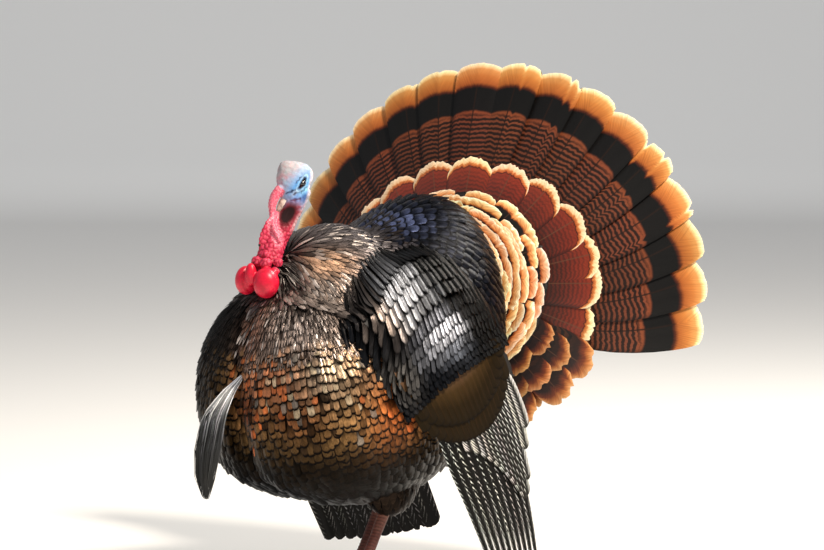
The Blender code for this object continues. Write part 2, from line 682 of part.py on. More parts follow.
def build_leg(side_name, side, trunk_cutter, floor):
    thigh = ellipsoid("thigh_" + side_name, leg_place(HIP, side), THIGH_SIZE, segments=10, rings=7)
    thigh_cutter = grown(thigh, f"thigh_{side_name}_clear")
    place_mesh("thigh_" + side_name, carve(thigh, [trunk_cutter]), BIRD, MATERIALS["black"])

    hock, ankle = leg_place(HOCK, side), leg_place(ANKLE, side)
    route = [hock.lerp(ankle, share) for share in (0.0, 0.3, 0.7, 1.0)]
    shank = route_tube("shank_" + side_name, route, SHANK_RADII, resolution=2)
    shank_cutter = grown(shank, f"shank_{side_name}_clear")
    place_mesh("shank_" + side_name, carve(shank, [thigh_cutter, trunk_cutter]), BIRD, MATERIALS["leg"])

    root = hock.lerp(ankle, SPUR_PLACE)
    back = (Vector(SPUR_HEADING) * Vector((side, 1.0, 1.0))).normalized()
    spur_route = [root + back * SPUR_LENGTH * share + Vector((0, 0, rise)) for share, rise in SPUR_RISE]
    spur = route_tube("spur_" + side_name, spur_route, SPUR_RADII)
    place_mesh("spur_" + side_name, carve(spur, [shank_cutter]), BIRD, MATERIALS["horn"])
    build_foot("foot_" + side_name, side, shank_cutter, floor)


def build_beard(trunk_cutter):
    beard = route_tube("beard", BEARD_ROUTE, BEARD_WIDTHS, BEARD_FLATNESS, 2)
    place_mesh("beard", carve(beard, [trunk_cutter]), BIRD, MATERIALS["beard"])


def centre_on_base():
    """Puts the origin at the middle of the whole bird's base."""
    corners = np.array([tuple(corner) for item in BIRD.objects for corner in item.bound_box])
    low, high = corners.min(axis=0), corners.max(axis=0)
    move = Matrix.Translation((-(low[0] + high[0]) / 2, -(low[1] + high[1]) / 2, -low[2]))
    for mesh in {item.data for item in BIRD.objects}:
        mesh.transform(move)


clear_scene()
BIRD, CUTTERS = make_collections()
MATERIALS = make_materials()
trunk = build_trunk()
trunk_clear = grown(trunk, "trunk_clear")
skull_clear, neck_clear, face_clears = build_head(trunk_clear)
build_snood(face_clears)
roll_clear = build_roll(trunk_clear, [neck_clear, skull_clear])
rump_clear = build_rump(trunk_clear)
floor_box = box_cutter("floor", (-BOX_REACH,) * 3, (BOX_REACH, BOX_REACH, 0.0))
wing_blockers = [trunk_clear, roll_clear, rump_clear, floor_box]
wing_clears = build_wing("wing_left", 1.0, wing_blockers) + build_wing("wing_right", -1.0, wing_blockers)
build_tail([rump_clear, trunk_clear] + wing_clears)
build_leg("left", 1.0, trunk_clear, floor_box)
build_leg("right", -1.0, trunk_clear, floor_box)
build_beard(trunk_clear)
centre_on_base()
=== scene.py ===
import math

import bpy
import numpy as np
from mathutils import Matrix, Vector, noise
from mathutils.bvhtree import BVHTree
from mathutils.kdtree import KDTree


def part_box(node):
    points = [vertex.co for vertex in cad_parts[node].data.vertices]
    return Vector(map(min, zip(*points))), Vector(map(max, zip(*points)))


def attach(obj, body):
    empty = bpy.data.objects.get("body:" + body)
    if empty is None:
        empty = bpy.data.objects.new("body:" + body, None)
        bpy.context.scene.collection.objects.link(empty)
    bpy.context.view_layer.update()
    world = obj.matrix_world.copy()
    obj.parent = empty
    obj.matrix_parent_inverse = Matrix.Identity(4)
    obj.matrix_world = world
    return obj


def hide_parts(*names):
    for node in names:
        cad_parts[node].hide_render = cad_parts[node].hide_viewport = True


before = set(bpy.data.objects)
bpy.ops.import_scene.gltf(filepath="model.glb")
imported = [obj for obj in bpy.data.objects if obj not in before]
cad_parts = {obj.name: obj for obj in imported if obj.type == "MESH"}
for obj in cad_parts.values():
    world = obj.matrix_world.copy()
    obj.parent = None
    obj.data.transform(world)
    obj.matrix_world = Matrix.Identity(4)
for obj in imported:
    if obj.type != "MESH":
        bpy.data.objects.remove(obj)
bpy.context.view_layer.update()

# The bird's own axes: x = 0 is its middle plane, y = 0 is where the left leg stands, it faces -y.
breastLow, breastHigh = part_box("breast")
breastRear = -0.0452  # where the breast ends in those axes
bodyOrigin = Vector(((breastLow.x + breastHigh.x) / 2, breastHigh.y - breastRear, 0.0))
rng = np.random.default_rng(7)


# Small helpers.

def linearColour(text):
    channels = [int(text[i:i + 2], 16) / 255 for i in (1, 3, 5)]
    return tuple(c / 12.92 if c <= 0.04045 else ((c + 0.055) / 1.055) ** 2.4 for c in channels) + (1.0,)


def blend(colours, colour, share):
    # colours of many points, moved towards one colour by each point's share
    share = np.reshape(share, (-1, 1))
    return colours * (1 - share) + np.array(linearColour(colour)[:3]) * share


def plainColours(colour, count):
    return np.repeat([linearColour(colour)[:3]], count, axis=0)


def setInputs(material, node, inputs):
    # an input takes a number, a hex colour, another node or one of its outputs
    for key, value in inputs.items():
        if isinstance(value, bpy.types.Node):
            value = next(output for output in value.outputs if output.enabled)
        if isinstance(value, bpy.types.NodeSocket):
            material.node_tree.links.new(value, node.inputs[key])
        else:
            node.inputs[key].default_value = linearColour(value) if isinstance(value, str) else value


def addNode(material, kind, inputs, stops=(), **settings):
    # one node with its settings; stops are a ramp's places, each with a grey or a hex colour
    node = material.node_tree.nodes.new("ShaderNode" + kind)
    for name, value in settings.items():
        setattr(node, name, value)
    setInputs(material, node, inputs)
    for number, (position, colour) in enumerate(stops):
        ramp = node.color_ramp
        element = ramp.elements[number] if number < len(ramp.elements) else ramp.elements.new(position)
        element.position = position
        element.color = linearColour(colour) if isinstance(colour, str) else (colour, colour, colour, 1.0)
    return node


def newMaterial(name):
    material = bpy.data.materials.new(name)
    material.use_nodes = True
    return material, material.node_tree.nodes["Principled BSDF"]


def smoothStep(value, low, high):
    share = np.clip((value - low) / (high - low), 0.0, 1.0)
    return share * share * (3 - 2 * share)


def unit(arrows):
    return arrows / (np.linalg.norm(arrows, axis=-1)[..., None] + 1e-12)


def useOnly(*items):
    for item in bpy.context.selected_objects:
        item.select_set(False)
    for item in items:
        item.select_set(True)
    if items:
        bpy.context.view_layer.objects.active = items[0]


def applyModifier(item, kind, **settings):
    useOnly(item)
    modifier = item.modifiers.new(kind.lower(), kind)
    for name, value in settings.items():
        setattr(modifier, name, value)
    bpy.ops.object.modifier_apply(modifier=modifier.name)


def roundOff(item, voxel, smoothing):
    # one even, closed surface round all that the object holds, then smoothed
    applyModifier(item, "REMESH", mode="VOXEL", voxel_size=voxel)
    applyModifier(item, "SMOOTH", factor=0.5, iterations=smoothing)


def joinAll(name, items):
    useOnly(*items)
    if len(items) > 1:
        bpy.ops.object.join()
    items[0].name = name
    return items[0]


def copyNodes(name, nodes):
    # the named solids copied into one object, with their doubled points joined
    copies = []
    for node in nodes:
        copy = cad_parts[node].copy()
        copy.data = copy.data.copy()
        copy.parent = None
        copy.hide_viewport = copy.hide_render = False
        for key in list(copy.keys()):
            del copy[key]
        bpy.context.scene.collection.objects.link(copy)
        copies.append(copy)
    joined = joinAll(name, copies)
    joined.data.materials.clear()
    bpy.ops.object.mode_set(mode="EDIT")
    bpy.ops.mesh.select_all(action="SELECT")
    bpy.ops.mesh.remove_doubles(threshold=0.00002)
    bpy.ops.object.mode_set(mode="OBJECT")
    return joined


def readArray(collection, field, width, kind=np.float64):
    values = np.empty(len(collection) * width, kind)
    collection.foreach_get(field, values)
    return values.reshape(-1, width) if width > 1 else values


def meshPoints(item):
    return readArray(item.data.vertices, "co", 3)


def meshNormals(item):
    return readArray(item.data.vertices, "normal", 3)


def setPoints(item, points):
    item.data.vertices.foreach_set("co", np.asarray(points, np.float64).ravel())
    item.data.update()


def surfaceTree(item, origin):
    # the object's points from an origin, its triangles, and the tree that finds places on them
    item.data.calc_loop_triangles()
    points = meshPoints(item) - np.array(origin)
    triangles = readArray(item.data.loop_triangles, "vertices", 3, np.int32)
    return points, triangles, BVHTree.FromPolygons(points.tolist(), triangles.tolist())


def addMap(mesh, name, spots):
    layer = mesh.uv_layers.new(name=name)
    layer.uv.foreach_set("vector", spots.astype(np.float32).ravel())


def addColours(mesh, name, values):
    layer = mesh.color_attributes.new(name=name, type="FLOAT_COLOR", domain="POINT")
    layer.data.foreach_set("color", values.astype(np.float32).ravel())


def finishPiece(item, material, replaced):
    item.data.materials.clear()
    item.data.materials.append(material)
    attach(item, "root")
    if replaced:
        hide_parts(*replaced)
    print(item.name, "has", sum(len(face.vertices) - 2 for face in item.data.polygons), "triangles")


def makeHull(name, nodes, voxel, smoothing):
    # a smooth closed surface round some solids, in the bird's own axes, which the feathers are laid on
    item = copyNodes(name, nodes)
    roundOff(item, voxel, smoothing)
    points, triangles, tree = surfaceTree(item, bodyOrigin)
    normals = meshNormals(item)[triangles].mean(axis=1)
    bpy.data.objects.remove(item, do_unlink=True)
    return {"points": points, "triangles": triangles, "normals": unit(normals), "tree": tree}


# Rows of feathers.

def contourChains(hull, values, level):
    # the lines on the hull where the values pass the level, as chains of points
    points, triangles = hull["points"], hull["triangles"]
    above = values > level
    sides = above[triangles]
    mixed = triangles[sides.any(axis=1) & ~sides.all(axis=1)]
    links = {}
    for a, b, c in mixed.tolist():
        ends = [(min(p, q), max(p, q)) for p, q in ((a, b), (b, c), (c, a)) if above[p] != above[q]]
        links.setdefault(ends[0], []).append(ends[1])
        links.setdefault(ends[1], []).append(ends[0])

    def place(edge):
        p, q = edge
        share = (level - values[p]) / (values[q] - values[p])
        return points[p] + (points[q] - points[p]) * share

    chains, seen = [], set()
    starts = [edge for edge, beside in links.items() if len(beside) == 1] + list(links)
    for start in starts:
        if start in seen:
            continue
        chain = [start]
        seen.add(start)
        while True:
            ahead = [beside for beside in links[chain[-1]] if beside not in seen]
            if not ahead:
                break
            seen.add(ahead[0])
            chain.append(ahead[0])
        if len(chain) > 3:
            closed = start in links[chain[-1]] and len(chain) > 4
            line = np.array([place(edge) for edge in chain])
            chains.append(np.vstack([line, line[:1]]) if closed else line)
    return chains


def spreadAlong(chain, spacing, stagger):
    # points along a chain, a feather's width apart, where spacing may differ from place to place
    steps = np.linalg.norm(np.diff(chain, axis=0), axis=1)
    middles = (chain[1:] + chain[:-1]) / 2
    reach = np.concatenate([[0.0], np.cumsum(steps / spacing(middles))])
    count = int(reach[-1])
    if count < 1:
        return np.zeros((0, 3))
    wanted = (np.arange(count) + 0.25 + 0.5 * stagger) * reach[-1] / count
    return np.stack([np.interp(wanted, reach, chain[:, axis]) for axis in range(3)], axis=1)


def rowRoots(hull, lie, tract):
    # the roots of all rows: one row for each level of the globe, every other row staggered
    levels = [tract["start"]]
    while levels[-1] < tract["end"]:
        levels.append(levels[-1] + float(tract["step"](levels[-1])))
    arms = hull["points"] - lie["centre"]
    cosines = (arms @ lie["pole"]) / (np.linalg.norm(arms, axis=1) + 1e-9)
    values = np.arccos(np.clip(cosines, -1, 1)) * lie["reach"]
    roots = []
    for number, level in enumerate(levels):
        for chain in contourChains(hull, values, level):
            found = spreadAlong(chain, tract["spacing"], number % 2)
            if len(found):
                roots.append(found[tract["keep"](found)])
    return np.vstack(roots)


def layFeathers(hull, lie, roots, lengths, stations, wander):
    # a spine for each root that follows the hull away from the globe's pole, with its ups
    spines = np.empty((len(roots), stations, 3))
    ups = np.empty((len(roots), stations, 3))
    centre, pole = Vector(lie["centre"]), Vector(lie["pole"])
    turns = rng.normal(0.0, wander, len(roots))
    for index, turn in enumerate(turns):
        point = Vector(roots[index])
        step = float(lengths[index]) / (stations - 1)
        for station in range(stations):
            place, _, face, _ = hull["tree"].find_nearest(point)
            up = Vector(hull["normals"][face])
            arm = (place - centre).normalized()
            heading = arm * pole.dot(arm) - pole
            heading -= up * heading.dot(up)
            heading.normalize()
            heading = heading * math.cos(turn) + up.cross(heading) * math.sin(turn)
            spines[index, station] = place
            ups[index, station] = up
            point = place + heading * step
    return spines, ups


def spinesOn(surface, starts, ends, stations, outward):
    # spines laid over a surface of two numbers (across, along), each from its start to its end
    share = np.linspace(0.0, 1.0, stations)[None, :, None]
    path = starts[:, None, :] * (1 - share) + ends[:, None, :] * share
    across, along = path[..., 0], path[..., 1]
    step = 0.002
    spines = surface(across, along)
    sideways = surface(across + step, along) - surface(across - step, along)
    onwards = surface(across, along + step) - surface(across, along - step)
    ups = unit(np.cross(sideways, onwards))
    facing = (ups * np.array(outward)).sum(axis=2)
    return spines, ups * np.where(facing < 0, -1.0, 1.0)[..., None]


def gridCells(numbers):
    # the four corners of each cell of a grid
    return np.stack([numbers[:-1, :-1], numbers[:-1, 1:], numbers[1:, 1:], numbers[1:, :-1]],
                    axis=-1).reshape(-1, 4)


def repeatVane(points, quads, caps, spots, spines, upperCount, quadSpots=None):
    # one vane's faces and places, repeated for all the vanes of a group
    count = len(spines)
    each = points.shape[1]
    shift = (np.arange(count) * each)[:, None, None]
    quadSpots = spots[quads] if quadSpots is None else quadSpots
    return {"points": points.reshape(-1, 3), "each": each, "count": count, "upperCount": upperCount,
            "roots": spines[:, 0], "tips": spines[:, -1],
            "quads": (quads[None] + shift).reshape(-1, 4), "triangles": (caps[None] + shift).reshape(-1, 3),
            "quadSpots": np.tile(quadSpots, (count, 1, 1)), "capSpots": np.tile(spots[caps], (count, 1, 1))}


def buildVanes(spines, ups, widths, shape):
    # closed vanes round the spines: a bowed upper side, rounded or split at the tip, on a flat or
    # like under side
    count, stations, _ = spines.shape
    columns, rows = shape["columns"], shape["rows"]
    across = np.linspace(-1.0, 1.0, columns)
    along = np.linspace(0.0, 1.0, rows) ** shape.get("crowding", 0.85)
    tangents = unit(np.gradient(spines, axis=1))
    sides = unit(np.cross(tangents, ups))
    ups = np.cross(sides, tangents)

    drop = shape["round"] * (1.0 - np.sqrt(np.maximum(0.0, 1.0 - (0.985 * across) ** 2)))
    drop = np.repeat(drop[None, :], count, axis=0)
    drop += rng.uniform(0.0, shape.get("fray", 0.0), drop.shape)
    splits = rng.uniform(0.0, 1.0, drop.shape) < shape.get("splits", 0.0)
    drop += splits * rng.uniform(0.3, 1.0, drop.shape) * shape.get("splitDepth", 0.0)
    reach = along[None, :, None] * (1.0 - drop[:, None, :])          # (count, rows, columns)

    spot = reach * (stations - 1)
    low = np.minimum(spot.astype(int), stations - 2)
    share = (spot - low)[..., None]
    pick = np.arange(count)[:, None, None]

    def at(values):
        return values[pick, low] * (1 - share) + values[pick, low + 1] * share

    half = widths[:, None, None] * 0.5 * np.interp(reach, shape["profileAt"], shape["profile"])
    lean = np.broadcast_to(np.asarray(shape.get("lean", 0.0), float), (count,))[:, None, None]
    offset = across[None, None, :] * half
    bow = -shape["bow"] * half * across[None, None, :] ** 2 + lean * offset
    ridge = shape.get("ridge", 0.0) * np.maximum(0.0, 1.0 - np.abs(across) * 4)[None, None, :]
    points = at(spines) + at(sides) * offset[..., None] + at(ups) * (bow + ridge)[..., None]

    grid = np.arange(rows * columns).reshape(rows, columns)
    upper = gridCells(grid)
    if shape.get("thick"):
        # the under side is a second sheet that meets the upper one all round its rim
        inner = points[:, 1:-1, 1:-1] - at(ups)[:, 1:-1, 1:-1] * shape["thick"]
        below = grid.copy()
        numbers = rows * columns + np.arange((rows - 2) * (columns - 2))
        below[1:-1, 1:-1] = numbers.reshape(rows - 2, columns - 2)
        under, underSpots = gridCells(below)[:, ::-1], upper[:, ::-1]
        caps = np.zeros((0, 3), int)
        points = np.concatenate([points.reshape(count, -1, 3), inner.reshape(count, -1, 3)], axis=1)
    else:
        under = np.stack([grid[:-1, -1], grid[:-1, 0], grid[1:, 0], grid[1:, -1]], axis=-1)
        underSpots = under
        tip, root = grid[-1], grid[0]
        caps = [(tip[0], tip[k], tip[k + 1]) for k in range(1, columns - 1)]
        caps = np.array(caps + [(root[0], root[k + 1], root[k]) for k in range(1, columns - 1)])
        points = points.reshape(count, -1, 3)
    spots = np.stack(np.broadcast_arrays(across[None, :] * 0.5 + 0.5, along[:, None]), axis=-1).reshape(-1, 2)
    return repeatVane(points, np.vstack([upper, under]), caps, spots, spines, len(upper),
                      spots[np.vstack([upper, underSpots])])


def skinPlace(points):
    # where a point of the body lies on a flat unwrap of its skin, rolled out round its long axis
    turn = np.arctan2(points[:, 0], points[:, 2] - 0.40) / (2 * math.pi) + 0.5
    length = (points[:, 1] + 0.33) / 0.85
    return np.clip(np.stack([turn, length], axis=1), 0.004, 0.996)


def bakePlaces(part, spots, feathers, isUnder):
    # small feathers are each a patch at their root's place; large ones have a strip for either side
    if not part.get("strips"):
        return skinPlace(part["roots"])[feathers][:, None, :] + (spots - 0.5) * 0.003
    first, total = part["strips"]
    strip = 1.0 / total
    left = (first + feathers * 2 + isUnder) * strip
    return np.stack([left[:, None] + (0.06 + 0.88 * spots[..., 0]) * strip, 0.01 + 0.98 * spots[..., 1]],
                    axis=-1)


def makeCoat(name, parts, material, slotName, replaced=()):
    # joins groups of vanes into one piece, with their colours and maps
    quads, triangles, vaneQuads, bakeQuads, vaneCaps, bakeCaps = [], [], [], [], [], []
    start = 0
    for part in parts:
        quads.append(part["quads"] + start)
        triangles.append(part["triangles"] + start)
        start += len(part["points"])
        part.setdefault("rim", plainRim(part["count"]))
        perFeather = len(part["quads"]) // part["count"]
        feathers = np.repeat(np.arange(part["count"]), perFeather)
        isUnder = np.tile(np.arange(perFeather) >= part["upperCount"], part["count"]).astype(int)
        vaneQuads.append(part["quadSpots"])
        bakeQuads.append(bakePlaces(part, part["quadSpots"], feathers, isUnder))
        if len(part["triangles"]):
            feathers = np.repeat(np.arange(part["count"]), len(part["triangles"]) // part["count"])
            vaneCaps.append(part["capSpots"])
            bakeCaps.append(bakePlaces(part, part["capSpots"], feathers, 0))
    points = np.vstack([part["points"] for part in parts]) + np.array(bodyOrigin)
    quads, triangles = np.vstack(quads), np.vstack(triangles)
    loops = np.concatenate([quads.ravel(), triangles.ravel()]).astype(np.int32)
    starts = np.concatenate([np.arange(len(quads)) * 4, len(quads) * 4 + np.arange(len(triangles)) * 3])
    mesh = bpy.data.meshes.new(name)
    mesh.vertices.add(len(points))
    mesh.vertices.foreach_set("co", points.ravel())
    mesh.loops.add(len(loops))
    mesh.loops.foreach_set("vertex_index", loops)
    mesh.polygons.add(len(starts))
    mesh.polygons.foreach_set("loop_start", starts.astype(np.int32))
    mesh.update(calc_edges=True)
    addMap(mesh, "OFBake", np.concatenate([spots.reshape(-1, 2) for spots in bakeQuads + bakeCaps]))
    addMap(mesh, "vane", np.concatenate([spots.reshape(-1, 2) for spots in vaneQuads + vaneCaps]))
    for label in ("tint", "rim"):
        addColours(mesh, label, np.vstack([np.repeat(part[label], part["each"], axis=0) for part in parts]))
    mesh.shade_smooth()
    mesh.set_sharp_from_angle(angle=math.radians(50))
    item = bpy.data.objects.new(name, mesh)
    bpy.context.scene.collection.objects.link(item)
    finishPiece(item, material, replaced)


# The trunk's feathers lie as lines run over a globe: out from a pole at the neck and round to the belly.
trunkLie = {
    "centre": np.array((0.0, 0.0, 0.340)),
    "pole": unit(np.array((0.0, -0.36, 0.93))),
    "reach": 0.24,       # metres of row spacing to one radian at the pole's distance
}


def near(points, centre, size):
    return np.exp(-(((points - np.array(centre)) / np.array(size)) ** 2).sum(axis=-1))


def besideLine(points, line, width):
    # how near points are to a chain of straight lines, from 0 to 1
    gaps = []
    for start, end in zip(np.array(line)[:-1], np.array(line)[1:]):
        share = np.clip((points - start) @ (end - start) / ((end - start) @ (end - start)), 0, 1)
        gaps.append(np.linalg.norm(points - start - share[:, None] * (end - start), axis=1))
    return np.exp(-(np.min(gaps, axis=0) / width) ** 2)


def paint(points, ground, patches=()):
    # ground colour with soft-edged patches: (colour, centre, size, strength)
    colours = plainColours(ground, len(points))
    for colour, centre, size, strength in patches:
        colours = blend(colours, colour, near(points, centre, size) * strength)
    return colours


def scatter(colours, choices):
    # some feathers take another colour, by a seeded draw; each choice has one chance, or one for each feather
    drawn = rng.uniform(0, 1, len(colours))
    start = np.zeros(len(colours))
    for colour, amount in choices:
        chosen = (drawn >= start) & (drawn < start + amount)
        colours = blend(colours, colour, chosen * rng.uniform(0.55, 1.0, len(colours)))
        start = start + amount
    return colours


def finishTint(colours, vary):
    # each feather a little lighter or darker; the fourth number is its own seed
    colours = colours * rng.uniform(1 - vary, 1 + vary, (len(colours), 1))
    return np.concatenate([colours, rng.uniform(0, 1, (len(colours), 1))], axis=1)


def plainTint(count, vary, hue=0.05):
    # for materials with their own colours, each feather a little lighter, darker, warmer or cooler
    tones = rng.uniform(1 - vary, 1 + vary, (count, 1)) * rng.uniform(1 - hue, 1 + hue, (count, 3))
    return np.concatenate([tones, rng.uniform(0, 1, (count, 1))], axis=1)


def plainRim(count, colour="#ffffff", width=0.0):
    return np.repeat([linearColour(colour)[:3] + (width,)], count, axis=0)


def placeStrips(parts):
    # gives each large feather's two sides their own strips of the bake map
    total = sum(part["count"] for part in parts) * 2
    first = 0
    for part in parts:
        part["strips"] = (first, total)
        first += part["count"] * 2


# Feathers are keratin vanes on a horn shaft, with barbs that catch the light as fine slanting lines.
def startVane(material, look):
    # the places on the vane and the noise of its barbs, which all feather materials share
    vane = addNode(material, "UVMap", {}, uv_map="vane")
    axes = addNode(material, "SeparateXYZ", {0: vane})
    along = axes.outputs[1]
    tint = addNode(material, "Attribute", {}, attribute_name="tint")
    offShaft = addNode(material, "Math", {0: axes, 1: 0.5}, operation="SUBTRACT")
    fromShaft = addNode(material, "Math", {0: offShaft}, operation="ABSOLUTE")
    # barbs slant from the shaft towards the tip, and no two feathers are alike
    slant = addNode(material, "Math", {0: fromShaft, 1: -look["barbSlant"], 2: along},
                    operation="MULTIPLY_ADD")
    seed = addNode(material, "Math", {0: tint.outputs["Alpha"], 1: look["seedScale"]}, operation="MULTIPLY")
    spot = addNode(material, "CombineXYZ", {0: fromShaft if look["alike"] else offShaft, 1: slant, 2: seed})
    fine = addNode(material, "Mapping", {0: spot, "Scale": (look["barbRun"], look["barbCount"], 1.0)})
    barbs = addNode(material, "TexNoise", {"Vector": fine, "Scale": 1.0, "Detail": 2.0, "Roughness": 0.6})
    broad = addNode(material, "Mapping", {0: spot, "Scale": look["cloudScale"]})
    cloud = addNode(material, "TexNoise", {"Vector": broad, "Scale": 1.0, "Detail": look["cloudDetail"]})
    depth = look["barbDepth"]
    lines = addNode(material, "MapRange", {"Value": barbs, "From Min": 0.35, "From Max": 0.65,
                                           "To Min": 1.0 - depth, "To Max": 1.0 + depth})
    return tint, along, fromShaft, seed, barbs, cloud, lines


def finishVane(material, surface, look, colour, barbs, lit=1.0):
    # a sheen painted into the colour at grazing angles, the finish and the barbs' relief
    if look["paintedSheenAmount"]:
        facing = addNode(material, "LayerWeight", {"Blend": look["paintedSheenBlend"]}).outputs["Facing"]
        paintedSheen = addNode(material, "Math", {0: facing, 1: look["paintedSheenAmount"]}, operation="MULTIPLY")
        paintedSheen = addNode(material, "Math", {0: paintedSheen, 1: lit}, operation="MULTIPLY")
        colour = addNode(material, "Mix", {0: paintedSheen, 6: colour, 7: look["paintedSheen"]}, data_type="RGBA")
    bump = addNode(material, "Bump", {"Strength": look["bump"], "Distance": 0.0008, "Height": barbs})
    setInputs(material, surface, {"Base Color": colour, "Metallic": look["metal"], "Roughness": look["rough"],
                                  "Specular IOR Level": look["specular"], "Normal": bump})
    return material


def vaneMaterial(name, look):
    # small feathers: one colour from the attribute, downy and dark at the root, which also stands as painted
    # shade under the row above, with a rim round the tip
    material, surface = newMaterial(name)
    tint, along, fromShaft, _, barbs, cloud, lines = startVane(material, look)
    rim = addNode(material, "Attribute", {}, attribute_name="rim")
    fade = addNode(material, "ValToRGB", {0: along}, look["fade"])
    patchy = addNode(material, "MapRange", {"Value": cloud, "From Min": 0.3, "From Max": 0.7,
                                            "To Min": 0.75, "To Max": 1.25})
    shade = addNode(material, "Math", {0: lines, 1: patchy}, operation="MULTIPLY")
    shade = addNode(material, "Math", {0: shade, 1: fade}, operation="MULTIPLY")
    body = addNode(material, "VectorMath", {0: tint, 1: shade}, operation="MULTIPLY")
    # the rim's width is its colour's fourth number
    edge = addNode(material, "Math", {0: fromShaft, 1: 2.0}, operation="MULTIPLY")
    edge = addNode(material, "Math", {0: edge, 1: 3.0}, operation="POWER")
    edge = addNode(material, "Math", {0: edge, 1: look["rimSide"]}, operation="MULTIPLY")
    edge = addNode(material, "Math", {0: edge, 1: along}, operation="MAXIMUM")
    wobble = addNode(material, "Math", {0: barbs, 1: 0.5}, operation="SUBTRACT")
    edge = addNode(material, "Math", {0: wobble, 1: 0.10, 2: edge}, operation="MULTIPLY_ADD")
    start = addNode(material, "Math", {0: 1.0, 1: rim.outputs["Alpha"]}, operation="SUBTRACT")
    end = addNode(material, "Math", {0: start, 1: look["rimSoft"]}, operation="ADD")
    rimShare = addNode(material, "MapRange", {"Value": edge, "From Min": start, "From Max": end})
    rimTone = addNode(material, "VectorMath", {0: rim, 1: lines}, operation="MULTIPLY")
    mixed = addNode(material, "Mix", {0: rimShare, 6: body, 7: rimTone}, data_type="RGBA")
    shaft = addNode(material, "MapRange", {"Value": fromShaft, "From Min": 0.012, "From Max": 0.030,
                                           "To Min": look["shaft"], "To Max": 0.0})
    mixed = addNode(material, "Mix", {0: shaft, 6: mixed, 7: look["shaftColour"]}, data_type="RGBA")
    # dark feathers get less of the painted sheen
    lit = addNode(material, "MapRange", {"Value": tint.outputs["Fac"], "From Max": 0.15})
    return finishVane(material, surface, look, mixed, barbs, lit)


vaneLook = {
    "barbSlant": 0.45, "barbRun": 2.0, "barbCount": 26.0, "barbDepth": 0.30, "seedScale": 37.0, "alike": True,
    "cloudScale": (3.0, 5.0, 1.0), "cloudDetail": 1.0, "rimSide": 1.30, "rimSoft": 0.05,
    "fade": [(0.30, 0.12), (0.58, 0.35), (0.74, 0.95), (1.0, 1.10)], "shaft": 0.25, "shaftColour": "#2a1c12",
    "paintedSheen": "#a89c92", "paintedSheenBlend": 0.30, "paintedSheenAmount": 0.14,
    "specular": 0.06, "metal": 0.50, "rough": 0.29, "bump": 0.6,
}
contourShape = {
    "columns": 7, "rows": 5, "round": 0.16, "fray": 0.02, "bow": 0.20, "ridge": 0.0004,
    "profileAt": [0.0, 0.2, 0.5, 0.85, 1.0], "profile": [0.25, 0.70, 0.98, 1.0, 0.90],
}


def layTract(hull, lie, tract):
    # all feathers of one tract: roots lie down on the skin and tips rise to the outline
    stations = 6
    roots = rowRoots(hull, lie, tract)
    count = len(roots)
    widths = tract["width"](roots) * rng.uniform(0.90, 1.10, count)
    lengths = tract["length"](roots) * rng.uniform(0.92, 1.08, count)
    spines, ups = layFeathers(hull, lie, roots, lengths, stations, tract["wander"])
    share = np.linspace(0.0, 1.0, stations)
    tipLift = np.broadcast_to(tract["tipLift"](roots), (count,))[:, None]
    lift = -tract["depth"] * (1 - share) ** 1.3 + tipLift * share ** 2
    lift = lift + rng.normal(0.0, tract["unruly"], count)[:, None] * share
    return buildVanes(spines + ups * lift[..., None], ups, widths, tract["shape"])


def barredColour(material, look, ground, level, along, fromShaft, seed, barbs, cloud):
    # wavy bars across the vane, broken up along the barbs
    bars = look["bars"]
    turns = bars["count"] * 2 * math.pi
    wave = addNode(material, "Math", {0: fromShaft, 1: bars["slant"], 2: along}, operation="MULTIPLY_ADD")
    wave = addNode(material, "Math", {0: wave, 1: turns}, operation="MULTIPLY")
    wave = addNode(material, "Math", {0: cloud, 1: bars["wobble"], 2: wave}, operation="MULTIPLY_ADD")
    wave = addNode(material, "Math", {0: wave, 1: seed}, operation="ADD")
    wave = addNode(material, "Math", {0: wave}, operation="SINE")
    wave = addNode(material, "Math", {0: barbs, 1: bars["broken"], 2: wave}, operation="MULTIPLY_ADD")
    if bars.get("edged"):
        # such bars are broadest at the vane's margins and fade at the shaft
        middle = addNode(material, "Math", {0: fromShaft, 1: 0.25}, operation="SUBTRACT")
        wave = addNode(material, "Math", {0: middle, 1: bars["edged"], 2: wave}, operation="MULTIPLY_ADD")
    share = addNode(material, "MapRange", {"Value": wave, "From Min": bars["cut"] - 0.25,
                                           "From Max": bars["cut"] + 0.25})
    shown = addNode(material, "ValToRGB", {0: level}, bars["shown"])
    amount = addNode(material, "Math", {0: share, 1: shown}, operation="MULTIPLY")
    return addNode(material, "Mix", {0: amount, 6: ground, 7: bars["colour"]}, data_type="RGBA")


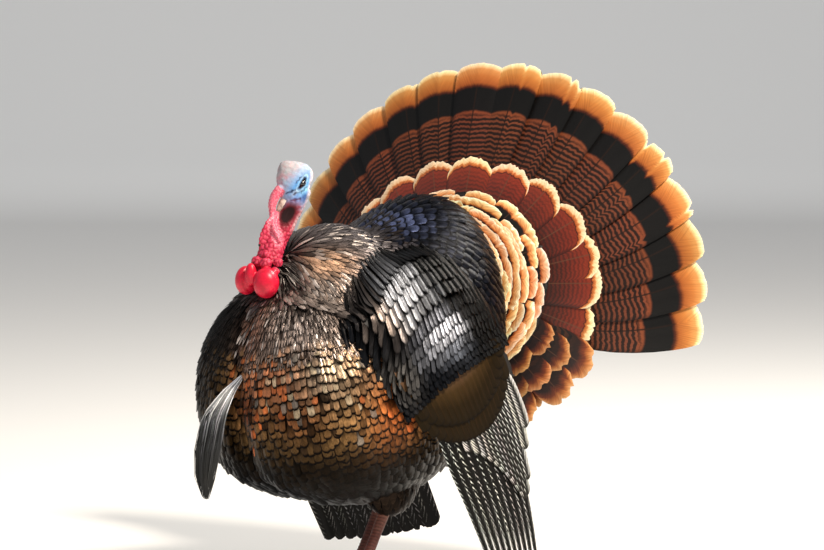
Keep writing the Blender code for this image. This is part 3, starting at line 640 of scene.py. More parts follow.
def plumeMaterial(name, look):
    # large feathers: bands across the vane, wavy bars, a pale fringe and a stiff shaft
    material, surface = newMaterial(name)
    tint, along, fromShaft, seed, barbs, cloud, lines = startVane(material, look)
    # the bands' edges follow the barbs
    level = addNode(material, "Math", {0: barbs, 1: look["frayed"], 2: along}, operation="MULTIPLY_ADD")
    level = addNode(material, "Math", {0: level, 1: look["frayed"] * 0.5}, operation="SUBTRACT")
    colour = addNode(material, "ValToRGB", {0: level}, look["bands"])
    if look.get("bars"):
        colour = barredColour(material, look, colour, level, along, fromShaft, seed, barbs, cloud)
    toned = addNode(material, "VectorMath", {0: colour, 1: lines}, operation="MULTIPLY")
    toned = addNode(material, "VectorMath", {0: toned, 1: tint}, operation="MULTIPLY")
    # painted shade: thin, dark margins where one feather shades the next
    margin = addNode(material, "MapRange", {"Value": fromShaft, "From Min": 0.5 - look["marginWidth"],
                                            "From Max": 0.5, "To Min": 1.0, "To Max": 1.0 - look["margin"]})
    ended = addNode(material, "ValToRGB", {0: level}, [(look["marginEnd"] - 0.02, 0.0),
                                                       (look["marginEnd"], 1.0)])
    margin = addNode(material, "Math", {0: margin, 1: ended}, operation="MAXIMUM")
    toned = addNode(material, "VectorMath", {0: toned, 1: margin}, operation="MULTIPLY")
    shaft = addNode(material, "MapRange", {"Value": fromShaft, "From Min": look["shaftWidth"] * 0.6,
                                           "From Max": look["shaftWidth"], "To Min": look["shaft"],
                                           "To Max": 0.0})
    before = addNode(material, "Math", {0: 1.0, 1: ended}, operation="SUBTRACT")
    shaft = addNode(material, "Math", {0: shaft, 1: before}, operation="MULTIPLY")
    mixed = addNode(material, "Mix", {0: shaft, 6: toned, 7: look["shaftColour"]}, data_type="RGBA")
    return finishVane(material, surface, look, mixed, barbs)


plumeLook = {
    "barbSlant": 0.50, "barbRun": 3.0, "barbCount": 130.0, "barbDepth": 0.16, "seedScale": 41.0,
    "alike": False,
    "cloudScale": (5.0, 16.0, 1.0), "cloudDetail": 2.0, "frayed": 0.012,
    "shaft": 0.6, "shaftWidth": 0.016, "shaftColour": "#5a3a28", "margin": 0.0, "marginWidth": 0.1,
    "marginEnd": 0.9,
    "paintedSheenBlend": 0.4, "paintedSheenAmount": 0.0, "specular": 0.30, "metal": 0.0, "rough": 0.46, "bump": 0.35,
}


# The skin: bare on the head, neck and legs, and under the feathers everywhere else.
head = {
    "centre": np.array((-0.010, -0.113, 0.7205)), "yaw": math.radians(25.0), "pitch": math.radians(50.0),
    "half": (0.0390, 0.0205, 0.0315),              # half length, half width, half height of the skull
    "eye": (-0.0071, 0.0140, -0.0057), "eyeRadius": 0.0070,
    "slit": (0.0078, 0.0029, math.radians(-8.0)),  # half length, half height and slant of the lids' opening
    "ear": (-0.0100, -0.0245), "throatShadow": (0.0505, -0.0205), "throatShadowSize": (0.0180, 0.0105),
    "voxel": 0.0014, "beadGap": 0.0066, "beadSize": 0.0050, "pimpleGap": 0.0036, "pimpleSize": 0.0030,
}
# Points of x, y, z and radius down the neck, and of forward, left, up and radius along the snood.
neckRoute = [(-0.009, -0.099, 0.712, 0.0180), (-0.012, -0.129, 0.662, 0.0195),
             (-0.012, -0.161, 0.613, 0.0205),
             (-0.005, -0.176, 0.566, 0.0235), (0.0, -0.146, 0.520, 0.0260)]
snoodRoute = [(0.016, 0.006, 0.0165, 0.0060), (0.026, 0.006, 0.0165, 0.0080), (0.040, 0.006, 0.0145, 0.0088),
              (0.052, 0.007, 0.0100, 0.0080), (0.0625, 0.009, 0.0025, 0.0066),
              (0.0735, 0.0160, -0.0048, 0.0053),
              (0.0855, 0.0292, -0.0141, 0.0044), (0.0975, 0.0388, -0.0350, 0.0026)]
# Caruncles are balls: x, y, z, half width, half height.
caruncles = [(0.0235, -0.2030, 0.5560, 0.0225, 0.0265), (-0.0235, -0.2100, 0.5580, 0.0190, 0.0250),
             (-0.0010, -0.2170, 0.5700, 0.0100, 0.0200)]
smallCaruncles = [(0.012, -0.195, 0.588, 0.0105), (-0.007, -0.198, 0.590, 0.0110),
                  (0.024, -0.178, 0.590, 0.0085),
                  (-0.022, -0.185, 0.586, 0.0100), (0.026, -0.187, 0.575, 0.0085),
                  (0.002, -0.187, 0.602, 0.0085)]
dewlap = {"centre": (-0.014, -0.161, 0.640), "size": (0.0060, 0.020, 0.042), "slant": math.radians(-33.0)}
# under the bill, between the snood and the throat
pouch = ((0.047, 0.004, -0.0285), (0.021, 0.0105, 0.0135))
# The cheek, the brow and the swelling before the ear, on either side: forward, left, up and their sizes.
swellings = [((0.006, 0.0075, -0.0215), (0.017, 0.0085, 0.010)),
             ((-0.008, 0.0125, 0.0035), (0.014, 0.0072, 0.0052)),
             ((0.017, 0.0068, 0.0020), (0.011, 0.0070, 0.0085))]
# Creases of the face, from the eye to the bill and over the brow: start, end, width, depth.
faceCreases = [
    ((0.0010, -0.0080), (0.0150, -0.0005), 0.0010, 0.0011),
    ((0.0150, -0.0005), (0.0240, 0.0040), 0.0011, 0.0010),
    ((-0.0180, -0.0010), (-0.0120, 0.0035), 0.0009, 0.0008),
    ((-0.0120, 0.0035), (0.0000, 0.0040), 0.0009, 0.0006),
    ((0.0030, -0.0130), (0.0180, -0.0060), 0.0010, 0.0009),
    ((-0.0080, -0.0165), (0.0060, -0.0150), 0.0009, 0.0006),
    ((0.0160, -0.0200), (0.0270, -0.0110), 0.0013, 0.0016),
]


def findHeadAxes():
    # forward, left and up of the head, as rows
    turn = np.array(Matrix.Rotation(-head["yaw"], 3, "Z"))
    forward = turn @ np.array((0.0, -math.cos(head["pitch"]), -math.sin(head["pitch"])))
    left = turn @ np.array((1.0, 0.0, 0.0))
    up = np.cross(forward, left)
    return np.array((forward, left, up if up[2] > 0 else -up))


headAxes = findHeadAxes()
snoodLine = head["centre"] + np.array(snoodRoute)[:, :3] @ headAxes


def addBall(centre, size, turn=np.eye(3), segments=48, rings=32):
    # a ball at its place in the bird's axes; its own axes are the rows of turn
    useOnly()
    bpy.ops.mesh.primitive_uv_sphere_add(segments=segments, ring_count=rings, radius=1.0)
    ball = bpy.context.object
    setPoints(ball, np.array(centre) + (meshPoints(ball) * size) @ turn + np.array(bodyOrigin))
    return ball


def addSkull():
    skull = addBall(-np.array(bodyOrigin), (1, 1, 1), segments=72, rings=48)
    length, width, height = head["half"]
    left, forward, up = meshPoints(skull).T * np.array((1, -1, 1))[:, None]
    ahead, above = np.maximum(0.0, forward), np.maximum(0.0, up)
    narrowing = 1.0 - 0.38 * ahead ** 1.6
    chin = np.where(up < 0, 0.88, 1.0)
    lift = 0.004 * (1.0 - forward * forward) - 0.0075 * ahead ** 2
    crown = 0.0105 * np.exp(-((forward + 0.42) / 0.40) ** 2) * above
    placed = np.stack([forward * length, left * width * narrowing,
                       up * height * narrowing * chin + lift + crown])
    setPoints(skull, head["centre"] + placed.T @ headAxes + np.array(bodyOrigin))
    return skull


def addTube(route):
    # a round tube through points of x, y, z and radius
    curve = bpy.data.curves.new("tube", "CURVE")
    curve.dimensions = "3D"
    curve.bevel_depth = 1.0
    curve.bevel_resolution = 6
    curve.resolution_u = 8
    curve.use_fill_caps = True
    spline = curve.splines.new("BEZIER")
    spline.bezier_points.add(len(route) - 1)
    for point, (x, y, z, radius) in zip(spline.bezier_points, route):
        point.co = bodyOrigin + Vector((x, y, z))
        point.radius = radius
        point.handle_left_type = point.handle_right_type = "AUTO"
    item = bpy.data.objects.new("tube", curve)
    bpy.context.scene.collection.objects.link(item)
    useOnly(item)
    bpy.ops.object.convert(target="MESH")
    return bpy.context.object


def crease(distance, width):
    return np.exp(-(distance / width) ** 2)


def creaseGap(face, start, end):
    # how far points of the face are from a line on it, that wavers a little
    start, arm = np.array(start), np.array(end) - np.array(start)
    forward, up = face.T
    spot = face + 0.0009 * np.stack([np.sin(up * 900), np.sin(forward * 760 + 1)], axis=-1) - start
    share = np.clip((spot @ arm) / (arm @ arm), 0, 1)
    return np.linalg.norm(spot - share[:, None] * arm, axis=1)


def beadHeights(points, centres, radius):
    # rounded beads packed on the skin, with creases between
    tree = KDTree(len(centres))
    for number, centre in enumerate(centres):
        tree.insert(centre, number)
    tree.balance()
    heights = np.empty(len(points))
    for number, point in enumerate(points):
        loose = Vector(point) + noise.noise_vector(Vector(point) * 190.0) * (radius * 0.28)
        (_, _, first), (_, _, second) = tree.find_n(loose, 2)
        heights[number] = min(1.0, (second - first) / radius)
    return np.sqrt(np.maximum(0.0, heights)) - 0.5


def noiseAt(points, scale, seed):
    return np.array([noise.noise(Vector(point) * scale + Vector((seed, 0, 0))) for point in points])


def spacedPoints(points, gap):
    # a random choice of points that lie no nearer than the gap
    chosen, cells = [], {}
    for index in rng.permutation(len(points)):
        point = points[index]
        a, b, c = (point / gap).astype(int)
        beside = [other for i in (-1, 0, 1) for j in (-1, 0, 1) for k in (-1, 0, 1)
                  for other in cells.get((a + i, b + j, c + k), ())]
        if all(np.sum((other - point) ** 2) >= gap * gap for other in beside):
            cells.setdefault((a, b, c), []).append(point)
            chosen.append(point)
    return np.array(chosen)


def headMarks(points):
    # where points lie on the head, and how near the snood, a large caruncle and the lids' opening are
    forward, left, up = ((points - head["centre"]) @ headAxes.T).T
    shares = np.linspace(0, len(snoodLine) - 1, 60)
    line = np.stack([np.interp(shares, np.arange(len(snoodLine)), values) for values in snoodLine.T], axis=1)
    snoodGap = np.min(np.linalg.norm(points[:, None, :] - line[None, :, :], axis=2), axis=1)
    balls = np.maximum.reduce([near(points, (x, y, z), (wide * 1.15, wide * 1.15, high * 1.1))
                               for x, y, z, wide, high in caruncles])
    halfLength, halfHeight, slant = head["slit"]
    ahead, above = forward - head["eye"][0], up - head["eye"][2]
    along = ahead * math.cos(slant) + above * math.sin(slant)
    aside = -ahead * math.sin(slant) + above * math.cos(slant)
    slit = np.sqrt((along / halfLength) ** 2 + (aside / halfHeight) ** 2)
    return forward, left, up, np.abs(left), snoodGap, balls, slit


def makeHeadSkin():
    pieces = [addSkull(), addTube(neckRoute)]
    pieces += [addBall((x, y, z), (wide, wide, high)) for x, y, z, wide, high in caruncles]
    pieces += [addBall((x, y, z), (size, size, size * 0.9), segments=24, rings=16)
               for x, y, z, size in smallCaruncles]
    pieces.append(addBall(dewlap["centre"], dewlap["size"],
                          np.array(Matrix.Rotation(dewlap["slant"], 3, "X")).T))
    pieces.append(addTube([tuple(place) + spot[3:] for place, spot in zip(snoodLine, snoodRoute)]))
    pieces.append(addBall(head["centre"] + np.array(pouch[0]) @ headAxes, pouch[1], headAxes, 32, 20))
    for side in (1, -1):
        for spot, size in swellings:
            place = head["centre"] + (np.array(spot) * (1, side, 1)) @ headAxes
            pieces.append(addBall(place, size, headAxes, 24, 16))
    skin = joinAll("headSkin", pieces)
    roundOff(skin, head["voxel"], 5)

    points = meshPoints(skin) - np.array(bodyOrigin)
    height = points[:, 2]
    forward, left, up, side, snoodGap, balls, slit = headMarks(points)
    face = np.stack([forward, up], axis=1)
    isHead = smoothStep(height, 0.672, 0.690)
    onFace = smoothStep(side, 0.006, 0.012) * isHead
    ballShare = (balls > 0.33).astype(float)
    offSnood = 1 - smoothStep(snoodGap, 0.0125, 0.0085) * (forward > 0.026)
    # beads: large and crowded down the neck, small on the nape, hardly any on the face
    head["beads"] = spacedPoints(points[height < 0.700], head["beadGap"])
    hollow = near(face, (0.0500, -0.0215), (0.0175, 0.0165)) * (side < 0.026)
    lower = 1 - smoothStep(height, 0.672, 0.700)
    beaded = (1 - ballShare) * offSnood * lower * (1 - np.minimum(1, 1.5 * hollow))
    rise = 0.0021 * beadHeights(points, head["beads"], head["beadSize"]) * beaded
    nape = smoothStep(-up - 0.5 * forward, 0.020, 0.030) * isHead
    front = smoothStep(forward, -0.004, 0.014) * smoothStep(up, 0.012, 0.024)
    pimples = beadHeights(points, spacedPoints(points[height > 0.66], head["pimpleGap"]), head["pimpleSize"])
    rise += 0.00065 * pimples * isHead * np.maximum(nape, 0.35 + 0.65 * front) * offSnood
    rise += 0.00085 * noiseAt(points, 160.0, 3.0) * isHead * offSnood
    for start, end, width, depth in faceCreases:
        rise -= depth * crease(creaseGap(face, start, end), width) * onFace
    # rings round the snood, and the throat's hollow
    rings = np.sin(forward * 2 * math.pi / 0.0046 + noiseAt(points, 90.0, 8.0) * 3)
    rise += 0.00035 * rings * (1 - offSnood)
    rise -= 0.0080 * hollow * smoothStep(side, 0.001, 0.006)
    # a groove down each large caruncle, as where it folds, and the ear's opening
    groove = crease(points[:, 0] + 0.0125 + 0.10 * (height - 0.556), 0.0016) * (points[:, 1] < -0.205)
    rise -= 0.0022 * groove * ballShare
    rise += 0.0004 * noiseAt(points, 60.0, 15.0) * ballShare
    rise -= 0.0020 * near(face, head["ear"], (0.0030, 0.0022)) * onFace
    placed = points + meshNormals(skin) * rise[:, None]

    # the lids: the skin stands as a rim round the eyeball and drops behind it inside the opening
    eyeGap = np.hypot(forward - head["eye"][0], up - head["eye"][2])
    ball = head["eye"][1] + np.sqrt(np.maximum(0.0, head["eyeRadius"] ** 2 - eyeGap ** 2))
    rim = smoothStep(slit, 1.75, 1.25)
    opened = np.where(slit < 1.0, smoothStep(slit, 1.08, 0.94), 1.0)
    for sideSign in (1, -1):
        here = (left * sideSign > 0.004) & (slit < 2.6)
        out = (placed - head["centre"]) @ headAxes[1] * sideSign
        target = np.where(slit < 1.0, ball - 0.0022, np.maximum(out, (ball + 0.0010) * rim + out * (1 - rim)))
        target = out * (1 - opened) + target * opened - 0.0007 * crease(slit - 1.95, 0.22)
        placed += np.where(here, (target - out) * sideSign, 0.0)[:, None] * headAxes[1]
    setPoints(skin, placed + np.array(bodyOrigin))
    return skin


def headColours(points):
    forward, _, up, side, snoodGap, balls, slit = headMarks(points)
    face = np.stack([forward, up], axis=1)
    blotch, fleck = noiseAt(points, 120.0, 5.0), noiseAt(points, 420.0, 9.0)
    bead = beadHeights(points, head["beads"], head["beadSize"])
    beadTopHighlight, sunk = smoothStep(bead, 0.10, 0.48), smoothStep(bead, -0.15, -0.45)
    isHead = smoothStep(points[:, 2] + 0.014 * blotch + 0.05 * forward, 0.672, 0.694)
    sides = smoothStep(side, 0.004, 0.010)
    throatShadow = near(face, head["throatShadow"], head["throatShadowSize"])
    onSnood = smoothStep(snoodGap, 0.0125, 0.0090) * (forward > 0.022)
    onBall = smoothStep(balls, 0.30, 0.42)
    route = np.array(neckRoute)
    middle = np.stack([np.interp(-points[:, 2], -route[:, 2], route[:, axis]) for axis in (0, 1)], axis=1)
    behind = (0.45 * np.abs(points[:, 0] - middle[:, 0]) + 0.89 * (points[:, 1] - middle[:, 1])) / 0.020
    nape = smoothStep(behind, 0.50, 0.85) * smoothStep(points[:, 2], 0.630, 0.655)
    tones = [
        # the beads are crimson, painted lighter on their tops as highlight and darker in their gaps as shade,
        # and pale ones run down the back of the neck
        ("#c62a4e", 0.25 + 0.6 * blotch), ("#de4668", 0.55 * beadTopHighlight), ("#6c0a1c", 0.80 * sunk),
        ("#e4c4c8", nape * (0.75 + 0.5 * blotch)), ("#5a3a48", 0.5 * nape * sunk),
        # the crown is pale, the face blue
        ("#9dabc0", isHead),
        ("#c47f90", isHead * smoothStep(up, 0.008, 0.022) * (0.30 + 1.2 * blotch)),
        ("#aaa5a6", isHead * smoothStep(up - 0.3 * forward, 0.012, 0.030) * 0.80),
        ("#cc7f90", 0.75 * near(face, (0.016, 0.028), (0.014, 0.012)) * isHead * (0.5 + blotch)),
        ("#5b9cdc", 1.8 * near(face, (0.002, -0.012), (0.027, 0.018)) * sides * isHead),
        ("#86c6ee", 1.3 * near(face, (-0.001, -0.0165), (0.011, 0.0055)) * isHead),
        ("#2d67a6", 1.3 * near(face, (0.0085, -0.0255), (0.0085, 0.0060)) * sides),
        ("#4d6f99", 0.8 * near(face, (-0.019, -0.004), (0.007, 0.006)) * isHead),
        ("#b9cfe4", 0.9 * near(face, (0.014, -0.006), (0.009, 0.004)) * isHead),
    ]
    # painted shade: the face's creases are drawn dark navy, as shade in the folds
    tones += [("#14254c", 0.85 * crease(creaseGap(face, start, end), width * 1.5) * isHead * (side > 0.006))
              for start, end, width, _ in faceCreases]
    tones += [
        ("#d6c9cf", 0.85 * smoothStep(-up - 0.55 * forward, 0.021, 0.028) * isHead),
        # painted shade in the ear's opening
        ("#2c2030", 0.9 * (near(face, head["ear"], (0.0026, 0.0020)) > 0.4) * isHead),
        # painted shade: the throat's hollow is painted dark red, nearly black in its depth
        ("#8c1026", 1.5 * near(face, (0.0515, -0.0210), (0.026, 0.0155))), ("#1d0206", 1.8 * throatShadow),
        # the lids' margins dark navy, widened by painted shade from the brow
        ("#0d1530", smoothStep(slit, 1.70, 1.30) * (side > 0.008)),
        ("#a8cfe9", 0.9 * crease(slit - 2.1, 0.25) * (side > 0.008)),
        ("#d95a72", onSnood), ("#f3a6b2", onSnood * 0.5 * (fleck > 0.1)),
        ("#d8183a", onBall), ("#bb0d2a", onBall * (0.3 + 0.8 * blotch)),
    ]
    colours = plainColours("#ab1b39", len(points))
    for colour, share in tones:
        colours = blend(colours, colour, np.clip(share, 0, 1))
    wet = 0.4 + 0.6 * np.maximum(onBall, onSnood)
    return colours, wet * (1 - smoothStep(throatShadow, 0.2, 0.5))


def makeBodySkin():
    # under the feathers: the solids' own form, sunk by the coat's depth, or less where the body is thin
    skin = copyNodes("bodySkin", trunkNodes + ["thigh_left", "thigh_right", "rump_coverts",
                                               "wing_left_coverts",
                                               "wing_right_coverts"])
    roundOff(skin, 0.0080, 8)
    points, _, tree = surfaceTree(skin, (0, 0, 0))
    normals = meshNormals(skin)
    depths = np.empty(len(points))
    for index, (point, normal) in enumerate(zip(points, normals)):
        inwards = Vector(-normal)
        _, _, _, distance = tree.ray_cast(Vector(point) + inwards * 0.0005, inwards)
        depths[index] = min(0.010, 0.42 * (distance or 0.02))
    setPoints(skin, points - normals * depths[:, None])
    applyModifier(skin, "SMOOTH", factor=0.5, iterations=3)
    return skin


legs = {
    "hock": (0.070, 0.030, 0.166), "ankle": (0.070, -0.042, 0.026), "rightShift": 0.112,
    "shankRadii": (0.0128, 0.0100, 0.0088, 0.0092, 0.0106), "toeRadius": 0.0078,
    "toes": ((-27.0, 0.066), (2.0, 0.086), (30.0, 0.068), (176.0, 0.034)),      # heading in degrees, length
    "toeRise": ((0.0, 0.0160), (0.10, 0.0125), (0.34, 0.0078), (0.68, 0.0066), (1.0, 0.0046)),
    "toeSwell": (1.06, 1.04, 1.0, 0.90, 0.64), "jointSize": (0.0080, 0.0080, 0.0068),
    "scutePitch": 0.0058, "shankFoot": 0.034, "voxel": 0.00165,
}


def legPlace(point, side):
    x, y, z = point
    return np.array((side * x, y + (legs["rightShift"] if side < 0 else 0.0), z))


def toeHeading(heading, side):
    angle = math.radians(heading) * side
    return np.array((math.sin(angle), -math.cos(angle), 0.0))


def makeLegSkin():
    pieces = []
    for side in (1, -1):
        hock, ankle = legPlace(legs["hock"], side), legPlace(legs["ankle"], side)
        shares = np.linspace(-0.12, 1.0, 5)
        pieces.append(addTube([tuple(hock + (ankle - hock) * share) + (radius,)
                               for share, radius in zip(shares, legs["shankRadii"])]))
        pieces.append(addBall((ankle[0], ankle[1] - 0.002, 0.0128), (0.0148, 0.0162, 0.0132), segments=32,
                              rings=20))
        pieces.append(addBall(hock + (ankle - hock) * 0.97, (0.0125, 0.0125, 0.0120), segments=32, rings=20))
        sole = np.array((ankle[0], ankle[1], 0.0))
        for heading, length in legs["toes"]:
            ahead = toeHeading(heading, side) * length
            pieces.append(addTube([
                tuple(sole + ahead * share + np.array((0, 0, height))) + (legs["toeRadius"] * wide,)
                for (share, height), wide in zip(legs["toeRise"], legs["toeSwell"])]))
            for share in (0.36, 0.66) if length > 0.05 else (0.62,):
                spot = sole + ahead * share + np.array((0, 0, 0.0066))
                pieces.append(addBall(spot, legs["jointSize"], segments=20, rings=12))
    skin = joinAll("legSkin", pieces)
    roundOff(skin, legs["voxel"], 3)
    points = meshPoints(skin) - np.array(bodyOrigin)
    placed = points + meshNormals(skin) * (0.0009 * scales(points)[0])[:, None]
    placed[:, 2] = np.where(points[:, 2] < 0.0022, placed[:, 2] * 0.25, placed[:, 2])
    placed[:, 2] = np.maximum(placed[:, 2], 0.00002)
    setPoints(skin, placed + np.array(bodyOrigin))
    return skin


def plate(phase):
    # the height of a row of plates, from -0.5 in the gaps to 0.5
    share = phase - np.floor(phase)
    return np.minimum(1.0, np.minimum(share, 1 - share) * 5) - 0.5


def scales(points):
    # the plates down the front of the shanks and over the toes: their height, number and the gap's nearness
    height, number, edge = np.zeros((3, len(points)))
    pitch = legs["scutePitch"]
    isShank = points[:, 2] > legs["shankFoot"]
    for side in (1, -1):
        hock, ankle = legPlace(legs["hock"], side), legPlace(legs["ankle"], side)
        axis = unit(ankle - hock)
        here = points[:, 0] * side > 0
        run = (points - hock) @ axis
        across = points[:, 0] - hock[0]
        phase = (run + 0.30 * np.abs(across) ** 1.2) / pitch
        front = smoothStep(hock[1] + run * axis[1] - points[:, 1], -0.002, 0.002)
        small = run / (pitch * 0.62)
        smallSide = across / (pitch * 0.55) + 0.5 * (np.floor(small) % 2)
        both = plate(phase) * front + np.maximum(plate(small), plate(smallSide)) * 0.7 * (1 - front)
        onShank = here & isShank
        height = np.where(onShank, both, height)
        number = np.where(onShank, np.floor(phase), number)
        edge = np.where(onShank, 0.5 - both, edge)
        best = np.full(len(points), 9.0)
        top = smoothStep(points[:, 2], 0.004, 0.009)
        for heading, _ in legs["toes"]:
            ahead = toeHeading(heading, side)
            run = (points - ankle) @ ahead
            aside = np.abs((points - ankle) @ np.array((ahead[1], -ahead[0], 0.0)))
            phase = run / (pitch * 0.82)
            mine = here & ~isShank & (run > 0.004) & (aside < np.minimum(best, 0.011))
            best = np.where(mine, aside, best)
            height = np.where(mine, plate(phase) * top, height)
            number = np.where(mine, np.floor(phase) + 40, number)
            edge = np.where(mine, (0.5 - plate(phase)) * top, edge)
    return height, number, edge


def legColours(points):
    _, number, edge = scales(points)
    tone = (np.sin(number * 12.9) * 0.5 + 0.5) * 0.5 + 0.25 * noiseAt(points, 150.0, 2.0)
    colours = blend(plainColours("#5c2f27", len(points)), "#8c5c4c", np.clip(tone, 0, 1))
    colours = blend(colours, "#2b1610", np.clip(edge, 0, 1) * 0.85)
    return blend(colours, "#5b4438", smoothStep(points[:, 2], 0.004, 0.001) * 0.7)


# Bare skin: thin, moist and full of blood at the caruncles, dry and matt on the crown, horny on the legs.
def skinMaterial():
    material, surface = newMaterial("turkeySkin")
    markings = addNode(material, "Attribute", {}, attribute_name="markings")
    place = addNode(material, "TexCoord", {}).outputs["Object"]
    pores = addNode(material, "TexVoronoi", {"Vector": place, "Scale": 900.0})     # 1.1 mm cells
    mottle = addNode(material, "TexNoise", {"Vector": place, "Scale": 260.0, "Detail": 3.0})
    shade = addNode(material, "MapRange", {"Value": mottle, "From Min": 0.3, "From Max": 0.7,
                                           "To Min": 0.88, "To Max": 1.10})
    toned = addNode(material, "VectorMath", {0: markings, 1: shade}, operation="MULTIPLY")
    # the markings' fourth number says how moist the skin is
    rough = addNode(material, "ValToRGB", {0: markings.outputs["Alpha"]},
                    [(0.0, 0.95), (0.4, 0.55), (1.0, 0.34)])
    bump = addNode(material, "Bump", {"Strength": 0.35, "Distance": 0.0003, "Height": pores})
    setInputs(material, surface, {"Base Color": toned, "Roughness": rough, "Normal": bump,
                                  "Specular IOR Level": 0.38,
                                  "Subsurface Weight": 0.12, "Subsurface Radius": (1.0, 0.25, 0.15),
                                  "Subsurface Scale": 0.004})
    return material


def bareNeck(points):
    # where the neck's tube and the caruncles are near enough for the skin to be theirs
    route = np.array(neckRoute)
    line = np.stack([np.interp(np.linspace(0, 3.6, 60), np.arange(5), values) for values in route.T], axis=1)
    gaps = np.linalg.norm(points[:, None, :] - line[None, :, :3], axis=2) - line[None, :, 3]
    bare = gaps.min(axis=1) < 0.006
    for x, y, z, wide, high in caruncles + [ball + ball[3:] for ball in smallCaruncles]:
        bare |= np.linalg.norm((points - (x, y, z)) / (wide, wide, high), axis=1) < 1.25
    return bare


def makeSkin():
    skin, *others = makeBodySkin(), makeHeadSkin(), makeLegSkin()
    for other in others:
        applyModifier(skin, "BOOLEAN", object=other, operation="UNION", solver="MANIFOLD")
        bpy.data.objects.remove(other, do_unlink=True)
    skin.name = "skin"
    points = meshPoints(skin) - np.array(bodyOrigin)
    colours = plainColours("#120d0b", len(points))
    moist = np.full(len(points), 0.4)
    isHead = (points[:, 2] > 0.62) & (np.linalg.norm(points[:, :2] - (-0.008, -0.130), axis=1) < 0.085)
    low = np.flatnonzero((points[:, 2] > 0.52) & (points[:, 1] < -0.12))
    isHead[low] |= bareNeck(points[low])
    colours[isHead], moist[isHead] = headColours(points[isHead])
    isLeg = (points[:, 2] < 0.155) & (np.abs(np.abs(points[:, 0]) - legs["hock"][0]) < 0.05)
    colours[isLeg] = legColours(points[isLeg])
    addColours(skin.data, "markings", np.concatenate([colours, moist[:, None]], axis=1))
    addMap(skin.data, "OFBake", skinPlace(points)[readArray(skin.data.loops, "vertex_index", 1, np.int32)])
    skin.data.shade_smooth()
    finishPiece(skin, skinMaterial(), trunkNodes + [
        "neck", "head", "dewlap", "snood", "caruncle_left", "caruncle_right", "caruncle_middle", "thigh_left",
        "thigh_right", "shank_left", "shank_right", "foot_left", "foot_right", "rump_coverts",
        "wing_left_coverts",
        "wing_right_coverts"])


trunkNodes = ["breast", "back", "belly", "neck_hackles"]
makeSkin()


# Eyes: a wet dark globe, brown iris round a black pupil.
def makeEyes():
    material, surface = newMaterial("wetDarkEye")
    spot = addNode(material, "UVMap", {}, uv_map="iris")
    axes = addNode(material, "SeparateXYZ", {0: spot})
    streaks = addNode(material, "TexNoise", {"Vector": spot, "Scale": 30.0})
    edge = addNode(material, "Math", {0: streaks, 1: 0.05, 2: axes.outputs[1]}, operation="MULTIPLY_ADD")
    iris = addNode(material, "ValToRGB", {0: edge}, [(0.0, "#030304"), (0.235, "#040404"), (0.25, "#3a2110"),
                                                     (0.40, "#23130a"), (0.45, "#07060a"), (1.0, "#0b0b12")])
    setInputs(material, surface, {"Base Color": iris, "Roughness": 0.04, "IOR": 1.38, "Coat Weight": 1.0})
    radius = head["eyeRadius"]
    for name, node, side in (("eyeLeft", "eye_left", 1), ("eyeRight", "eye_right", -1)):
        useOnly()
        bpy.ops.mesh.primitive_uv_sphere_add(segments=48, ring_count=32, radius=radius)
        ball = bpy.context.object
        ball.name = name
        directions = meshPoints(ball) / radius
        turn = np.array(Vector((0, 0, 1)).rotation_difference(Vector(headAxes[1] * side)).to_matrix())
        bulge = 1.0 + 0.06 * smoothStep(directions[:, 2], 0.75, 1.0)
        centre = head["centre"] + (np.array(head["eye"]) * (1, side, 1)) @ headAxes + np.array(bodyOrigin)
        setPoints(ball, centre + (directions * (radius * bulge)[:, None]) @ turn.T)
        turns = np.arctan2(directions[:, 1], directions[:, 0]) / (2 * math.pi) + 0.5
        fall = np.arccos(np.clip(directions[:, 2], -1, 1)) / math.pi
        corners = readArray(ball.data.loops, "vertex_index", 1, np.int32)
        addMap(ball.data, "iris", np.stack([turns, fall], axis=1)[corners])
        ball.data.shade_smooth()
        finishPiece(ball, material, [node])


makeEyes()


# Horn: translucent keratin, pale on the bill and dark on the claws, with fine lines of growth.
def hornMaterial(name, tones, rough):
    material, surface = newMaterial(name)
    place = addNode(material, "TexCoord", {}).outputs["Object"]
    lines = addNode(material, "TexNoise", {"Vector": place, "Scale": 330.0, "Detail": 4.0})
    patches = addNode(material, "TexNoise", {"Vector": place, "Scale": 90.0, "Detail": 2.0})
    mixed = addNode(material, "Math", {0: lines, 1: 0.35, 2: patches}, operation="MULTIPLY_ADD")
    tone = addNode(material, "ValToRGB", {0: mixed}, tones)
    bump = addNode(material, "Bump", {"Strength": 0.3, "Distance": 0.0003, "Height": lines})
    setInputs(material, surface, {"Base Color": tone, "Roughness": rough, "Normal": bump})
    return material


def makeHornPieces():
    bill = hornMaterial("paleBillHorn", [(0.45, "#8d7870"), (0.62, "#c9b4a8"), (0.80, "#e0d2c6")], 0.35)
    claw = hornMaterial("darkClawHorn", [(0.45, "#1d140f"), (0.65, "#3b2a20"), (0.85, "#6b5444")], 0.32)
    pieces = {"bill_upper": ("upperBill", bill), "bill_lower": ("lowerBill", bill),
              "spur_left": ("spurLeft", claw), "spur_right": ("spurRight", claw)}
    for side in ("left", "right"):
        for toe in ("inner", "middle", "outer", "back"):
            pieces[f"foot_{side}_{toe}_claw"] = (f"claw{side.title()}{toe.title()}", claw)
    for node, (name, material) in pieces.items():
        piece = copyNodes(name, [node])
        roundOff(piece, 0.0007, 6)
        piece.data.shade_smooth()
        finishPiece(piece, material, [node])


makeHornPieces()


